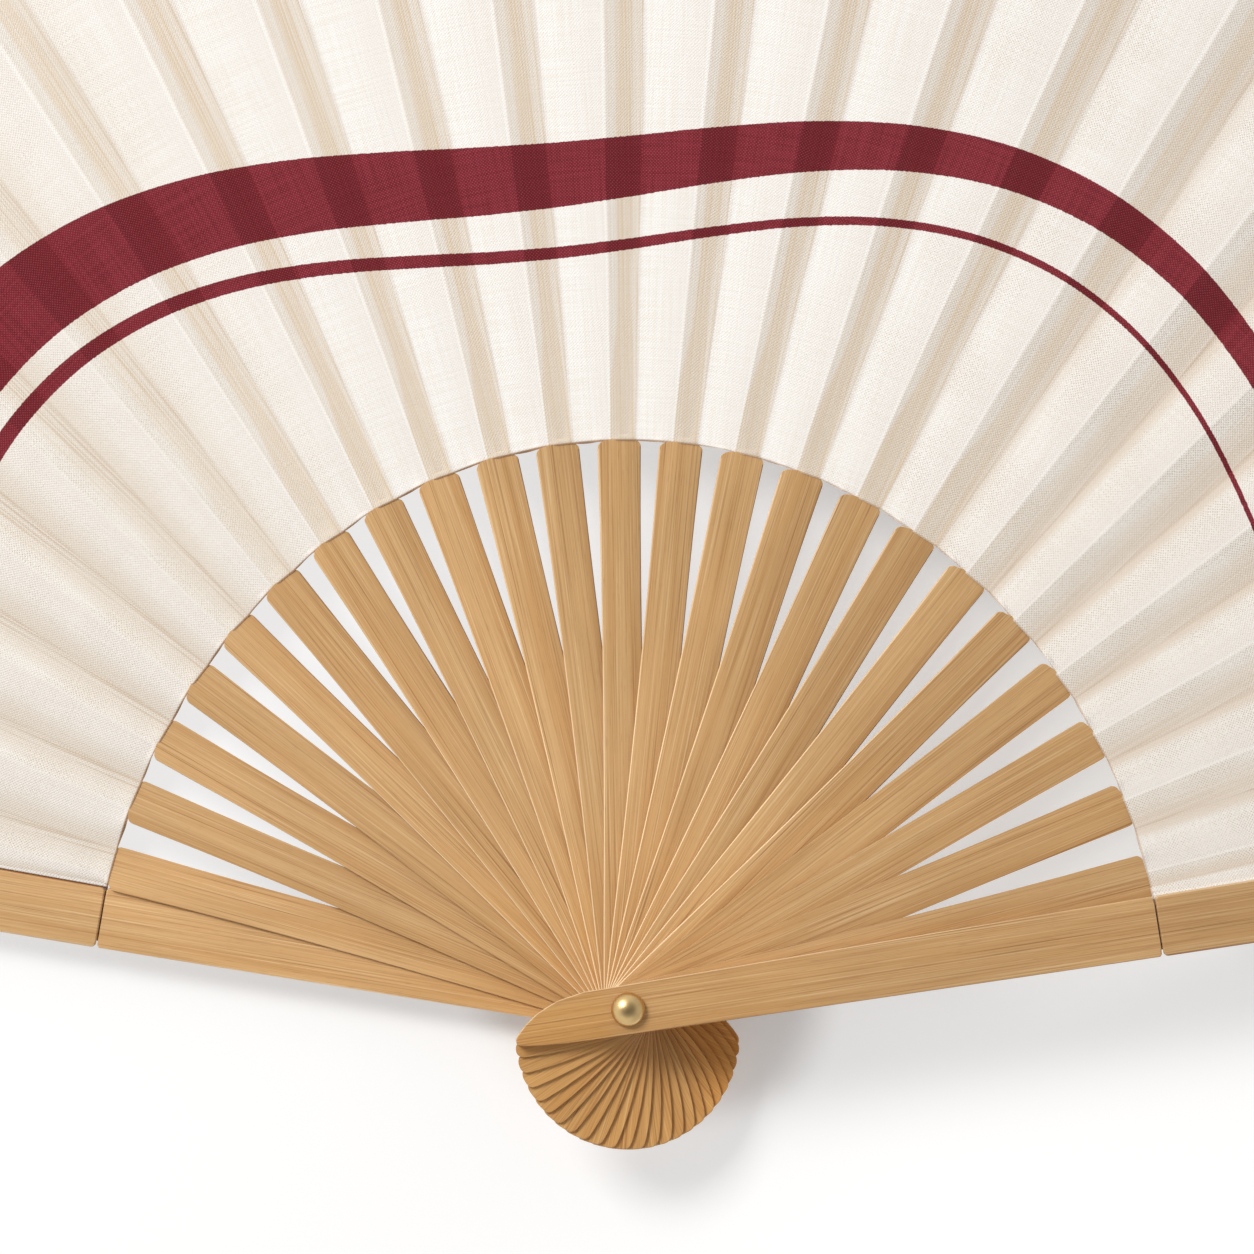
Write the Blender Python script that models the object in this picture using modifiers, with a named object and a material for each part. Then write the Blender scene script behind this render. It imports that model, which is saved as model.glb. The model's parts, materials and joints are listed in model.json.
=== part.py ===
"""Folding fan: two guards and twenty-three ribs on one brass rivet, with a pleated cloth leaf.

Metres, +Z up. The fan lies open and flat with its front towards +Z. The rivet's axis is Z, and the
rivet's flat rear face is at the origin. Every stick is drawn along its own +X, from the rivet out
to the rim, and is then turned about the rivet to its place in the fan. The back guard lies lowest,
each stick to its right lies on the one before, and the front guard lies on top.
"""

import math

import bmesh
import bpy
from mathutils import Matrix, Vector

# Places of the sticks, in degrees about the rivet, from the back guard on the left to the front one
RIB_COUNT = 23
BACK_GUARD_DEG = 170.3
FRONT_GUARD_DEG = 8.9
MIDDLE_RIB_DEG = 90.9
RIB_SPREAD_DEG = 69.2
RIB_LEAN_DEG = 1.3
RIB_SLACK_DEG = 6.0

# Thicknesses in the stack of sticks
RIB_THICKNESS = 0.00045
GUARD_THICKNESS = 0.0022
STICK_CLEARANCE = 0.00025

# Outline of a rib's shank
PIVOT_HALF_WIDTH = 0.0043
WAIST_HALF_WIDTH = 0.0034
WAIST_REACH = 0.060
SHOULDER_HALF_WIDTH = 0.0038
SHOULDER_RADIUS = 0.0012
SHOULDER_ARCH = 0.00035
SHANK_STATION_SHARES = (0.14, 0.3, 0.4, 0.5, 0.58, 0.66, 0.75, 0.86)

# Narrow slip that carries the leaf on each rib
SLIP_HALF_WIDTH = 0.0013
SLIP_TIP_HALF_WIDTH = 0.0010
SLIP_TIP_REACH = 0.2035
SLIP_THICKNESS = 0.0002
SLIP_STATION_SHARES = (0.04, 0.35, 0.7)
SLIP_FILLET = 0.0004

# Each rib is flat at the rivet and leans over with its pleat further out, less so beside the guards
PLEAT_SLOPE = 0.26
SLOPE_RAMP_STICKS = 5
TWIST_START = 0.020

# Tails behind the rivet: reach, and how far each side of the tail's end lies from the middle line
GUARD_TAIL_REACH = 0.0196
MIDDLE_TAIL_REACH = 0.0240
TAIL_SIDE_NARROW = -0.0019
TAIL_SIDE_MIDDLE = 0.0024
TAIL_SIDE_WIDE = 0.0033
TAIL_CURVE_POWER = 3.6
TAIL_STATION_SHARES = (0.35, 0.6, 0.78, 0.9)
TAIL_RADIUS = 0.0018

# Guards: a stepped base the length of the fan, and a slat that covers the leaf's end
GUARD_PIVOT_HALF_WIDTH = 0.00425
GUARD_SEAM_HALF_WIDTH = 0.0052
GUARD_EDGE_RADIUS = 0.0003
GUARD_SEAM_REACH = 0.0909
GUARD_SEAM_RADIUS = 0.0008
SEAM_GAP = 0.00025
SLAT_THICKNESS = 0.0009
SLAT_TIP_HALF_WIDTH = 0.0059
SLAT_TIP_REACH = 0.2100
SLAT_TIP_RADIUS = 0.0045
TONGUE_HALF_WIDTH = 0.0040
TONGUE_TIP_REACH = 0.2080
TONGUE_RELIEF = 0.0005
GUARD_STATION_SHARES = (0.25, 0.5, 0.75)

# Leaf: one sheet of cloth, here in the panels between one fold over a rib and the next
LEAF_THICKNESS = 0.0002
LEAF_CLEARANCE = 0.0002
LEAF_INNER_GUARD = 0.0910
LEAF_INNER_RISE = 0.0056
LEAF_ARCH_POWER = 2.2
LEAF_RIM = 0.2070
LEAF_SHOULDER_GAP = 0.00025
DARK_PANEL_SHARE = 0.37
PANEL_SEAM = 0.0002
LIP_STEP = 0.0004

# Rivet and its washer
PIN_RADIUS = 0.0011
BORE_RADIUS = 0.00135
HEAD_RADIUS = 0.0029
HEAD_HEIGHT = 0.0024
HEAD_RIM = 0.0003
REAR_HEAD_RADIUS = 0.0021
REAR_HEAD_FLAT_RADIUS = 0.0014
REAR_HEAD_HEIGHT = 0.00055
WASHER_RADIUS = 0.0031
WASHER_THICKNESS = 0.0005
WASHER_EDGE = 0.00012

# Fineness of curves, and what cuts run past a face
CORNER_STEPS = 3
BORE_SIDES = 16
TURNED_SIDES = 28
DOME_STEPS = 7
WELD_DISTANCE = 0.000001
FLAT_FACE_COSINE = 0.999
CUT_OVERRUN = 0.002

STICK_COUNT = RIB_COUNT + 2
LAST = STICK_COUNT - 1
GUARD_FLOOR = REAR_HEAD_HEIGHT + STICK_CLEARANCE + WASHER_THICKNESS + STICK_CLEARANCE
FIRST_RIB_FLOOR = GUARD_FLOOR + GUARD_THICKNESS + STICK_CLEARANCE
RIB_PITCH = RIB_THICKNESS + STICK_CLEARANCE
FRONT_GUARD_FLOOR = FIRST_RIB_FLOOR + RIB_COUNT * RIB_PITCH
FRONT_HEAD_SEAT = FRONT_GUARD_FLOOR + GUARD_THICKNESS + STICK_CLEARANCE


def start_collections():
    """Empty the scene, and return one collection for the fan's parts and one for cutters."""
    for old in list(bpy.data.objects):
        bpy.data.objects.remove(old)
    made = []
    for name in ("folding_fan", "cutters"):
        collection = bpy.data.collections.new(name)
        bpy.context.scene.collection.children.link(collection)
        made.append(collection)
    return made


def make_material(name, colour, roughness, metallic=0.0):
    material = bpy.data.materials.new(name)
    material.use_nodes = True
    shader = material.node_tree.nodes["Principled BSDF"]
    shader.inputs["Base Color"].default_value = (*colour, 1.0)
    shader.inputs["Roughness"].default_value = roughness
    shader.inputs["Metallic"].default_value = metallic
    return material


def stack_share(index):
    """A stick's place in the stack, from 0 at the back guard to 1 at the front guard."""
    return index / LAST


def stick_degrees(index):
    """A stick's direction. The ribs stand closest in the middle of the fan."""
    if index == 0:
        return BACK_GUARD_DEG
    if index == LAST:
        return FRONT_GUARD_DEG
    place = (2 * index - 1 - RIB_COUNT) / (RIB_COUNT - 1)
    lean = RIB_LEAN_DEG * place**2
    return MIDDLE_RIB_DEG - RIB_SPREAD_DEG * place - RIB_SLACK_DEG * place**3 - lean


def rib_middle(index):
    """The height of the middle of a rib's thickness."""
    return FIRST_RIB_FLOOR + (index - 1) * RIB_PITCH + RIB_THICKNESS / 2


def pleat_slope(index):
    """How steeply the leaf's panel over a stick leans. It is level on the guards."""
    from_guard = min(index, LAST - index)
    return PLEAT_SLOPE * min(1.0, from_guard / SLOPE_RAMP_STICKS)


def leaf_inner(index):
    """The radius of the leaf's lower edge at a stick. The edge arches up in the middle."""
    arch = math.sin(math.pi * stack_share(index)) ** LEAF_ARCH_POWER
    return LEAF_INNER_GUARD + LEAF_INNER_RISE * arch


def through_three(first, middle, last, share):
    """The parabola that takes the values first, middle and last at shares 0, 0.5 and 1."""
    bend = 2 * (first + last) - 4 * middle
    return first + (last - first - bend) * share + bend * share**2


def filleted(corners):
    """Round an outline's corners. Each corner is (x, y, radius)."""
    points = []
    for number, (x, y, radius) in enumerate(corners):
        here = Vector((x, y))
        if radius == 0:
            points.append(here)
            continue
        before = Vector(corners[number - 1][:2]) - here
        after = Vector(corners[(number + 1) % len(corners)][:2]) - here
        half = before.angle(after) / 2
        most = 0.48 * min(before.length, after.length)
        back = min(radius / math.tan(half), most)
        reach = back * math.tan(half)
        middle = (before.normalized() + after.normalized()).normalized()
        centre = here + middle * (back / math.cos(half))
        start = here + before.normalized() * back - centre
        end = here + after.normalized() * back - centre
        for step in range(CORNER_STEPS + 1):
            arm = start.lerp(end, step / CORNER_STEPS)
            points.append(centre + arm.normalized() * reach)
    return points


def circle(radius, sides):
    turn = 2 * math.pi / sides
    return [Vector((radius * math.cos(turn * n), radius * math.sin(turn * n))) for n in range(sides)]


def cut_out(name, outlines, thickness, edge_radius=0.0):
    """A mesh of flat stock cut to the outlines, the first outside and the rest holes."""
    curve = bpy.data.curves.new(name, "CURVE")
    curve.dimensions = "2D"
    curve.fill_mode = "BOTH"
    curve.extrude = thickness / 2 - edge_radius
    curve.bevel_depth = edge_radius
    curve.bevel_resolution = 1
    curve.offset = -edge_radius
    for points in outlines:
        spline = curve.splines.new("POLY")
        spline.points.add(len(points) - 1)
        for slot, point in zip(spline.points, points):
            slot.co = (point.x, point.y, 0.0, 1.0)
        spline.use_cyclic_u = True
    drawn = bpy.data.objects.new(name, curve)
    bpy.context.scene.collection.objects.link(drawn)
    bpy.context.view_layer.update()
    solid = drawn.evaluated_get(bpy.context.evaluated_depsgraph_get())
    mesh = bpy.data.meshes.new_from_object(solid)
    bpy.data.objects.remove(drawn)
    bpy.data.curves.remove(curve)
    work = bmesh.new()
    work.from_mesh(mesh)
    bmesh.ops.remove_doubles(work, verts=work.verts, dist=WELD_DISTANCE)
    bmesh.ops.recalc_face_normals(work, faces=work.faces)
    flat = [face for face in work.faces if abs(face.normal.z) > FLAT_FACE_COSINE]
    inner = [edge for edge in work.edges if all(face in flat for face in edge.link_faces)]
    bmesh.ops.beautify_fill(work, faces=flat, edges=inner)
    work.to_mesh(mesh)
    work.free()
    mesh.name = name
    return mesh


def add_object(name, mesh, material, collection, parent):
    """Put a mesh in the scene under its sub-part's name, with smooth shading on round faces."""
    placed = bpy.data.objects.new(name, mesh)
    mesh.materials.clear()
    mesh.materials.append(material)
    mesh.shade_smooth()
    mesh.set_sharp_from_angle(angle=math.radians(30))
    collection.objects.link(placed)
    placed.parent = parent
    return placed


def cut_away(target, cutter, collection):
    """Take a cutter's shape out of a part with a Boolean."""
    for holder in list(cutter.users_collection):
        holder.objects.unlink(cutter)
    collection.objects.link(cutter)
    cutter.parent = target.parent
    cutter.hide_render = True
    cutter.display_type = "WIRE"
    cut = target.modifiers.new(cutter.name, "BOOLEAN")
    cut.operation = "DIFFERENCE"
    cut.object = cutter


def tail_side(share):
    """How far one side of a tail's end lies from the stick's middle line."""
    return through_three(TAIL_SIDE_NARROW, TAIL_SIDE_MIDDLE, TAIL_SIDE_WIDE, share)


def tail_reach(index):
    arch = math.sin(math.pi * stack_share(index))
    return GUARD_TAIL_REACH + (MIDDLE_TAIL_REACH - GUARD_TAIL_REACH) * arch


def tail_corners(index, pivot_half_width):
    """A stick's tail from its upper edge round to its lower one, longest in mid-stack.

    The tails of the two guards are mirror images, and the ribs' change evenly between them.
    """
    reach = tail_reach(index)
    upper = tail_side(1 - stack_share(index))
    lower = -tail_side(stack_share(index))
    corners = []
    for share in TAIL_STATION_SHARES:
        drop = share**TAIL_CURVE_POWER
        corners.append((-reach * share, pivot_half_width + (upper - pivot_half_width) * drop, 0))
    corners.append((-reach, upper, TAIL_RADIUS))
    corners.append((-reach, lower, TAIL_RADIUS))
    for share in reversed(TAIL_STATION_SHARES):
        drop = share**TAIL_CURVE_POWER
        corners.append((-reach * share, (lower + pivot_half_width) * drop - pivot_half_width, 0))
    return corners


def shank_half_width(reach, shoulder_reach):
    """Half a rib's width: narrowest at its waist, wider at the rivet and at the shoulder."""
    if reach < WAIST_REACH:
        share = 1 - reach / WAIST_REACH
        return WAIST_HALF_WIDTH + (PIVOT_HALF_WIDTH - WAIST_HALF_WIDTH) * share**2
    share = (reach - WAIST_REACH) / (shoulder_reach - WAIST_REACH)
    return WAIST_HALF_WIDTH + (SHOULDER_HALF_WIDTH - WAIST_HALF_WIDTH) * share**2


def mirrored(corners):
    """The same corners on the stick's other side, in the order that goes on round it."""
    return [(x, -y, radius) for x, y, radius in reversed(corners)]


def rib_outline(index):
    shoulder = leaf_inner(index) - LEAF_SHOULDER_GAP
    crown = shoulder - SHOULDER_ARCH
    slip_length = SLIP_TIP_REACH - shoulder
    lower = []
    for share in SHANK_STATION_SHARES:
        lower.append((shoulder * share, -shank_half_width(shoulder * share, shoulder), 0))
    lower.append((crown, -SHOULDER_HALF_WIDTH, SHOULDER_RADIUS))
    lower.append((shoulder, -SLIP_HALF_WIDTH, SLIP_FILLET))
    for share in SLIP_STATION_SHARES:
        half = SLIP_HALF_WIDTH + (SLIP_TIP_HALF_WIDTH - SLIP_HALF_WIDTH) * share
        lower.append((shoulder + slip_length * share, -half, 0))
    lower.append((SLIP_TIP_REACH, -SLIP_TIP_HALF_WIDTH, SLIP_TIP_HALF_WIDTH))
    return tail_corners(index, PIVOT_HALF_WIDTH) + lower + mirrored(lower)


def lean_rib(mesh, index):
    """Thin a rib's slip from the front, and lean the rib over with its pleat away from the rivet."""
    shoulder = leaf_inner(index) - LEAF_SHOULDER_GAP
    full_lean = math.atan(pleat_slope(index))
    for vertex in mesh.vertices:
        place = vertex.co
        past_shoulder = place.x > shoulder + WELD_DISTANCE
        if past_shoulder and place.z > 0:
            place.z = SLIP_THICKNESS - RIB_THICKNESS / 2
        share = (place.x - TWIST_START) / (shoulder - TWIST_START)
        share = min(1.0, max(0.0, share))
        lean = full_lean * share * share * (3 - 2 * share)
        vertex.co = Matrix.Rotation(lean, 3, "X") @ place


def make_rib(index, material, collection, parent):
    name = f"rib_{index:02d}"
    bore = circle(BORE_RADIUS, BORE_SIDES)
    mesh = cut_out(name, [filleted(rib_outline(index)), bore], RIB_THICKNESS)
    lean_rib(mesh, index)
    rib = add_object(name, mesh, material, collection, parent)
    rib.location.z = rib_middle(index)
    rib.rotation_euler.z = math.radians(stick_degrees(index))


def guard_outline(index):
    """A guard's base: its tail, its shank up to the seam, and the tongue that runs under the leaf."""
    length = GUARD_SEAM_REACH
    widening = GUARD_SEAM_HALF_WIDTH - GUARD_PIVOT_HALF_WIDTH
    lower = []
    for share in GUARD_STATION_SHARES:
        lower.append((length * share, -GUARD_PIVOT_HALF_WIDTH - widening * share, 0))
    lower.append((length, -GUARD_SEAM_HALF_WIDTH, GUARD_SEAM_RADIUS))
    lower.append((length, -TONGUE_HALF_WIDTH, 0))
    lower.append((TONGUE_TIP_REACH, -TONGUE_HALF_WIDTH, SLAT_TIP_RADIUS))
    return tail_corners(index, GUARD_PIVOT_HALF_WIDTH) + lower + mirrored(lower)


def slat_outline():
    """A guard's slat: square at the seam, widening to a rounded tip."""
    seam = GUARD_SEAM_REACH + SEAM_GAP
    lower = [
        (seam, -GUARD_SEAM_HALF_WIDTH, GUARD_SEAM_RADIUS),
        (SLAT_TIP_REACH, -SLAT_TIP_HALF_WIDTH, SLAT_TIP_RADIUS),
    ]
    return lower + mirrored(lower)


def tongue_span(index):
    """The tongue's lowest and highest level over the guard's own underside."""
    low = TONGUE_RELIEF if index == LAST else 0.0
    return low, GUARD_THICKNESS - SLAT_THICKNESS - LEAF_THICKNESS - 2 * LEAF_CLEARANCE


def guard_floor(index):
    return FRONT_GUARD_FLOOR if index == LAST else GUARD_FLOOR


def make_tongue_cutter(name, low, high, collection, guard):
    """A block past the guard's seam, between two levels over the guard's underside."""
    length = TONGUE_TIP_REACH - GUARD_SEAM_REACH + CUT_OVERRUN
    width = 2 * (GUARD_SEAM_HALF_WIDTH + CUT_OVERRUN)
    bpy.ops.mesh.primitive_cube_add(size=1)
    block = bpy.context.active_object
    block.name = name
    block.data.transform(Matrix.Diagonal((length, width, high - low, 1)))
    middle = (low + high) / 2 - GUARD_THICKNESS / 2
    block.data.transform(Matrix.Translation((GUARD_SEAM_REACH + length / 2, 0, middle)))
    block.location = guard.location
    block.rotation_euler = guard.rotation_euler
    cut_away(guard, block, collection)


def make_bore_cutter(name, collection, guard):
    bpy.ops.mesh.primitive_cylinder_add(
        vertices=BORE_SIDES, radius=BORE_RADIUS, depth=GUARD_THICKNESS + 2 * CUT_OVERRUN)
    drill = bpy.context.active_object
    drill.name = name
    drill.location = guard.location
    drill.rotation_euler = guard.rotation_euler
    cut_away(guard, drill, collection)


def make_guard(name, index, materials, collection, cutters, parent):
    """One guard: a base with its edges eased, stepped down past the seam, and the slat over it."""
    floor = guard_floor(index)
    turn = math.radians(stick_degrees(index))
    outline = filleted(guard_outline(index))
    mesh = cut_out(name, [outline], GUARD_THICKNESS, GUARD_EDGE_RADIUS)
    base = add_object(name, mesh, materials["guard"], collection, parent)
    base.location.z = floor + GUARD_THICKNESS / 2
    base.rotation_euler.z = turn
    low, high = tongue_span(index)
    make_bore_cutter(name + "_bore", cutters, base)
    make_tongue_cutter(name + "_step", high, GUARD_THICKNESS + CUT_OVERRUN, cutters, base)
    if low > 0:
        make_tongue_cutter(name + "_relief", -CUT_OVERRUN, low, cutters, base)

    slat_name = name + "_slat"
    mesh = cut_out(slat_name, [filleted(slat_outline())], SLAT_THICKNESS, GUARD_EDGE_RADIUS)
    slat = add_object(slat_name, mesh, materials["slat"], collection, parent)
    slat.location.z = floor + GUARD_THICKNESS - SLAT_THICKNESS / 2
    slat.rotation_euler.z = turn


def on_stick(index, radius, lateral, height):
    """The point at a radius from the rivet and a distance to the left of a stick's middle line."""
    along = math.sqrt(radius**2 - lateral**2)
    return Matrix.Rotation(math.radians(stick_degrees(index)), 3, "Z") @ Vector((along, lateral, height))


def dark_half_angle(index):
    """Half the angle of the panel over a rib, a share of the ribs' mean spacing there."""
    spacing = math.radians(stick_degrees(index - 1) - stick_degrees(index + 1)) / 2
    return DARK_PANEL_SHARE * spacing / 2


def fold_line(index, side, inset):
    """A fold beside a rib from the leaf's lower edge to its rim: side is 1 for the left one, -1 right.

    The line is drawn in towards the panel by the inset.
    """
    seat = SLIP_THICKNESS - RIB_THICKNESS / 2 + LEAF_CLEARANCE + LEAF_THICKNESS / 2
    line = []
    for radius in (leaf_inner(index), LEAF_RIM):
        lateral = side * radius * math.sin(dark_half_angle(index)) + inset
        height = rib_middle(index) + seat + pleat_slope(index) * lateral
        line.append(on_stick(index, radius, lateral, height))
    return line


def guard_lines(index, side):
    """The leaf's end under a guard's slat, out past the slat's edge, and over to the ribs' side."""
    low, high = tongue_span(index)
    slot = guard_floor(index) + high + LEAF_CLEARANCE + LEAF_THICKNESS / 2
    if index == LAST:
        lip = guard_floor(index) + low - LEAF_CLEARANCE - LEAF_THICKNESS / 2
    else:
        lip = guard_floor(index) + GUARD_THICKNESS + LEAF_CLEARANCE + LEAF_THICKNESS / 2
    middle, edge, over = [], [], []
    for radius, half in ((leaf_inner(index), GUARD_SEAM_HALF_WIDTH), (LEAF_RIM, SLAT_TIP_HALF_WIDTH)):
        past = half + LEAF_CLEARANCE + LEAF_THICKNESS / 2
        middle.append(on_stick(index, radius, 0, slot))
        edge.append(on_stick(index, radius, side * past, slot))
        over.append(on_stick(index, radius, side * (past + LIP_STEP), lip))
    return [middle, edge, over]


def make_pleat(number, material, collection, parent):
    """The leaf from one rib's left fold to the next one's: a thin plate lofted through its folds."""
    seam = PANEL_SEAM / 2
    if number == 1:
        lines = guard_lines(0, -1)
    else:
        lines = [fold_line(number - 1, 1, -seam), fold_line(number - 1, -1, 0)]
    if number == LAST:
        lines += reversed(guard_lines(LAST, 1))
    else:
        lines.append(fold_line(number, 1, seam))
    work = bmesh.new()
    rows = [[work.verts.new(point) for point in line] for line in lines]
    for left, right in zip(rows, rows[1:]):
        work.faces.new((left[0], right[0], right[1], left[1]))
    bmesh.ops.recalc_face_normals(work, faces=work.faces)
    name = f"leaf_pleat_{number:02d}"
    mesh = bpy.data.meshes.new(name)
    work.to_mesh(mesh)
    work.free()
    pleat = add_object(name, mesh, material, collection, parent)
    shell = pleat.modifiers.new("thickness", "SOLIDIFY")
    shell.thickness = LEAF_THICKNESS
    shell.offset = 0.0
    shell.use_even_offset = True


def turned(name, profile, closed, material, collection, parent):
    """Turn a profile of (radius, height) about the rivet's axis."""
    mesh = bpy.data.meshes.new(name)
    edges = [(n, n + 1) for n in range(len(profile) - 1)]
    if closed:
        edges.append((len(profile) - 1, 0))
    mesh.from_pydata([(radius, 0.0, height) for radius, height in profile], edges, [])
    piece = add_object(name, mesh, material, collection, parent)
    screw = piece.modifiers.new("turn", "SCREW")
    screw.steps = TURNED_SIDES
    screw.render_steps = TURNED_SIDES
    screw.use_merge_vertices = True
    screw.merge_threshold = WELD_DISTANCE
    screw.use_smooth_shade = True
    return piece


def make_rivet(material, collection, parent):
    """The rivet: a domed head in front, a shank through every stick, and a low head set behind."""
    dome_height = HEAD_HEIGHT - HEAD_RIM
    profile = []
    for step in range(DOME_STEPS + 1):
        turn = math.pi / 2 * step / DOME_STEPS
        rise = HEAD_RIM + dome_height * math.cos(turn)
        profile.append((HEAD_RADIUS * math.sin(turn), FRONT_HEAD_SEAT + rise))
    profile.append((HEAD_RADIUS - HEAD_RIM, FRONT_HEAD_SEAT))
    profile.append((PIN_RADIUS, FRONT_HEAD_SEAT))
    profile.append((PIN_RADIUS, REAR_HEAD_HEIGHT))
    profile.append((REAR_HEAD_RADIUS, REAR_HEAD_HEIGHT))
    profile.append((REAR_HEAD_FLAT_RADIUS, 0.0))
    profile.append((0.0, 0.0))
    turned("rivet_pin", profile, False, material, collection, parent)


def make_washer(material, collection, parent):
    low = REAR_HEAD_HEIGHT + STICK_CLEARANCE
    high = low + WASHER_THICKNESS
    profile = [
        (BORE_RADIUS, high),
        (WASHER_RADIUS - WASHER_EDGE, high),
        (WASHER_RADIUS, high - WASHER_EDGE),
        (WASHER_RADIUS, low + WASHER_EDGE),
        (WASHER_RADIUS - WASHER_EDGE, low),
        (BORE_RADIUS, low),
    ]
    turned("rivet_washer", profile, True, material, collection, parent)


def main():
    collection, cutters = start_collections()
    rivet_axis = bpy.data.objects.new("rivet_axis", None)
    collection.objects.link(rivet_axis)
    materials = {
        "guard": make_material("guard_wood", (0.56, 0.34, 0.16), 0.5),
        "slat": make_material("slat_wood", (0.58, 0.36, 0.17), 0.5),
        "rib": make_material("rib_wood", (0.61, 0.38, 0.18), 0.5),
        "leaf": make_material("leaf_cloth", (0.88, 0.85, 0.79), 0.9),
        "brass": make_material("rivet_brass", (0.72, 0.56, 0.30), 0.25, 1.0),
        "washer": make_material("washer_brass", (0.66, 0.51, 0.27), 0.35, 1.0),
    }
    make_guard("back_guard", 0, materials, collection, cutters, rivet_axis)
    for index in range(1, RIB_COUNT + 1):
        make_rib(index, materials["rib"], collection, rivet_axis)
    make_guard("front_guard", LAST, materials, collection, cutters, rivet_axis)
    for number in range(1, STICK_COUNT):
        make_pleat(number, materials["leaf"], collection, rivet_axis)
    make_rivet(materials["brass"], collection, rivet_axis)
    make_washer(materials["washer"], collection, rivet_axis)


main()
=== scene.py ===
"""Finishes, pleated cloth and studio light for the folding fan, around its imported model.

Metres, +Z up, in the frame of the model: the rivet's axis is Z, and the fan lies open on its back.
Sticks are numbered from 0, the back guard on the left, to 24, the front guard on the right.
"""

import json
import math

import bmesh
import bpy
import numpy as np
from mathutils import Matrix, Vector, noise


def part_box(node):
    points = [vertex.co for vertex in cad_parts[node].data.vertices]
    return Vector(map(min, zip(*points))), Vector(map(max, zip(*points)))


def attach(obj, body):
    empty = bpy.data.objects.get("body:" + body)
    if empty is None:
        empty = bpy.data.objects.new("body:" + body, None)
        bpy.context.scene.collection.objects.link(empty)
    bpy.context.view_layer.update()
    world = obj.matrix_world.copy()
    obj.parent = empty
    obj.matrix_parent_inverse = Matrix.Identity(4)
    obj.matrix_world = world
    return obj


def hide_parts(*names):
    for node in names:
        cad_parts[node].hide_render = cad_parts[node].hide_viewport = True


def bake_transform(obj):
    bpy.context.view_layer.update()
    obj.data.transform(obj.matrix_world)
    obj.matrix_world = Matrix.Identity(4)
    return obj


# Photograph: its side and the rivet's place in pixels, and the real width of one pixel
PHOTO_SIDE = 1254
RIVET_PIXEL = (628, 1008.3)
PIXEL_WIDTH = 0.00017
CAMERA_HEIGHT = 4.0
CAMERA_CLIP = 12.0
SENSOR_WIDTH = 36.0

# Studio
FLOOR_DROP = 0.0035
FLOOR_SIDE = 40.0
FLOOR_SHADE = 0.83
FLOOR_GLOW_TAILS = (0.20, 0.52)
FLOOR_GLOW_FRONT = (0.55, 0.42)
FLOOR_GLOW_BEHIND = (0.42, 0.78)
FLOOR_TOTAL = (1.08, 1.02)
FLOOR_GLOW_SPAN = (0.062, -0.050)
FLOOR_GLOW_REACH = (-0.004, 0.030)
TAILS_MIDDLE = (0.004, 0.004, 0.0)
TAILS_REACH = (0.0235, 0.034)
TAILS_LOW = (-0.0125, -0.0225)
FAN_REACH = (0.26, 0.21)
KEY_SIDE = 0.45
KEY_DISTANCE = 1.3
KEY_ELEVATION_DEG = 51
KEY_AZIMUTH_DEG = 141
KEY_AIM = (0.0, 0.09, 0.0)
KEY_COLOUR = (1.0, 0.985, 0.96)
KEY_POWER = 11.6
SKY_LEVEL = 0.685
SKY_ZENITH = 0.20
ZENITH_REACH = (0.62, 0.93)
ROOM_FAR_SIDE = 0.40
FAR_SIDE_REACH = (0.10, 0.85)

# Sticks
RIB_COUNT = 23
LAST = RIB_COUNT + 1
STICK_CLEARANCE = 0.00025
RIB_THICKNESS = 0.00045
SLIP_THICKNESS = 0.0002
PLEAT_SLOPE = 0.26
SLOPE_RAMP_STICKS = 5
STICK_EDGE = 0.00028
STICK_REAR_EDGE = 0.00010
SLIP_EDGE = 0.00006
GUARD_EDGE = 0.00042
SLAT_EDGE = 0.7 * GUARD_EDGE
EDGE_STEPS = 3
BORE_REACH = 0.002
BARE_REACH = 0.088
SEAM_REACH = (0.088, 0.098)
SLAT_CORNER = 0.0005
CORNER_STEPS = 4
SEAM_CORNER_DEG = 60
SHARP_EDGE_DEG = 40
STICK_SHARP_DEG = 50
SHEET_SHARP_DEG = 35
FLAT_DEG = 0.2
MERGE_REACH = 0.000002
UPRIGHT_TILT = 0.2
FRONT_TILT = 0.5
ROUND = 0.5
OUTLINE_CORNERS_DEG = (3, 38)
OUTLINE_EASE_PERCENT = 48
TONE_RANGE = 0.10
TONE_SEED = (0.4, 5.7, 1.3)
TONE_CURVE = (1.015, 0.012, 0.04)
STICK_TONES = {
    "back_guard": 1.08,
    "back_guard_slat": 1.03,
    "rib_01": 1.06,
    "front_guard": 0.93,
    "front_guard_slat": 0.88,
}
CROWN_HEIGHT = 0.00011
CROWN_HALF_WIDTH = 0.0040

# Leaf: a sheet of thin cloth, glued along each rib's slip
LEAF_INNER_GUARD = 0.0910
LEAF_INNER_RISE = 0.0056
LEAF_ARCH_POWER = 2.2
LEAF_RIM = 0.2070
LEAF_LENGTH = LEAF_RIM - LEAF_INNER_GUARD
RIDGE_LATERAL = (0.00145, 0.00050)
VALLEY_DEG = 1.50
VALLEY_BOW_DEG = 0.28
VALLEY_LEFT_DEG = 0.55
VALLEY_RIGHT_DEG = 1.35
VALLEY_LAST_DEG = 1.15
LEFT_REACH = (0.35, 0.80)
RIGHT_REACH = (0.20, 0.62)
RIGHT_LIFT = 0.00032
RIGHT_SLOPE_SHARE = 0.80
CLOTH_THICKNESS = 0.00012
GLUE_LINE = 0.00002
SHOULDER_COVER = 0.00008
SHOULDER_EXTRA = (0.0005, 0.0008)
SHOULDER_EXTRA_REACH = (0.25, 0.75)
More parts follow.
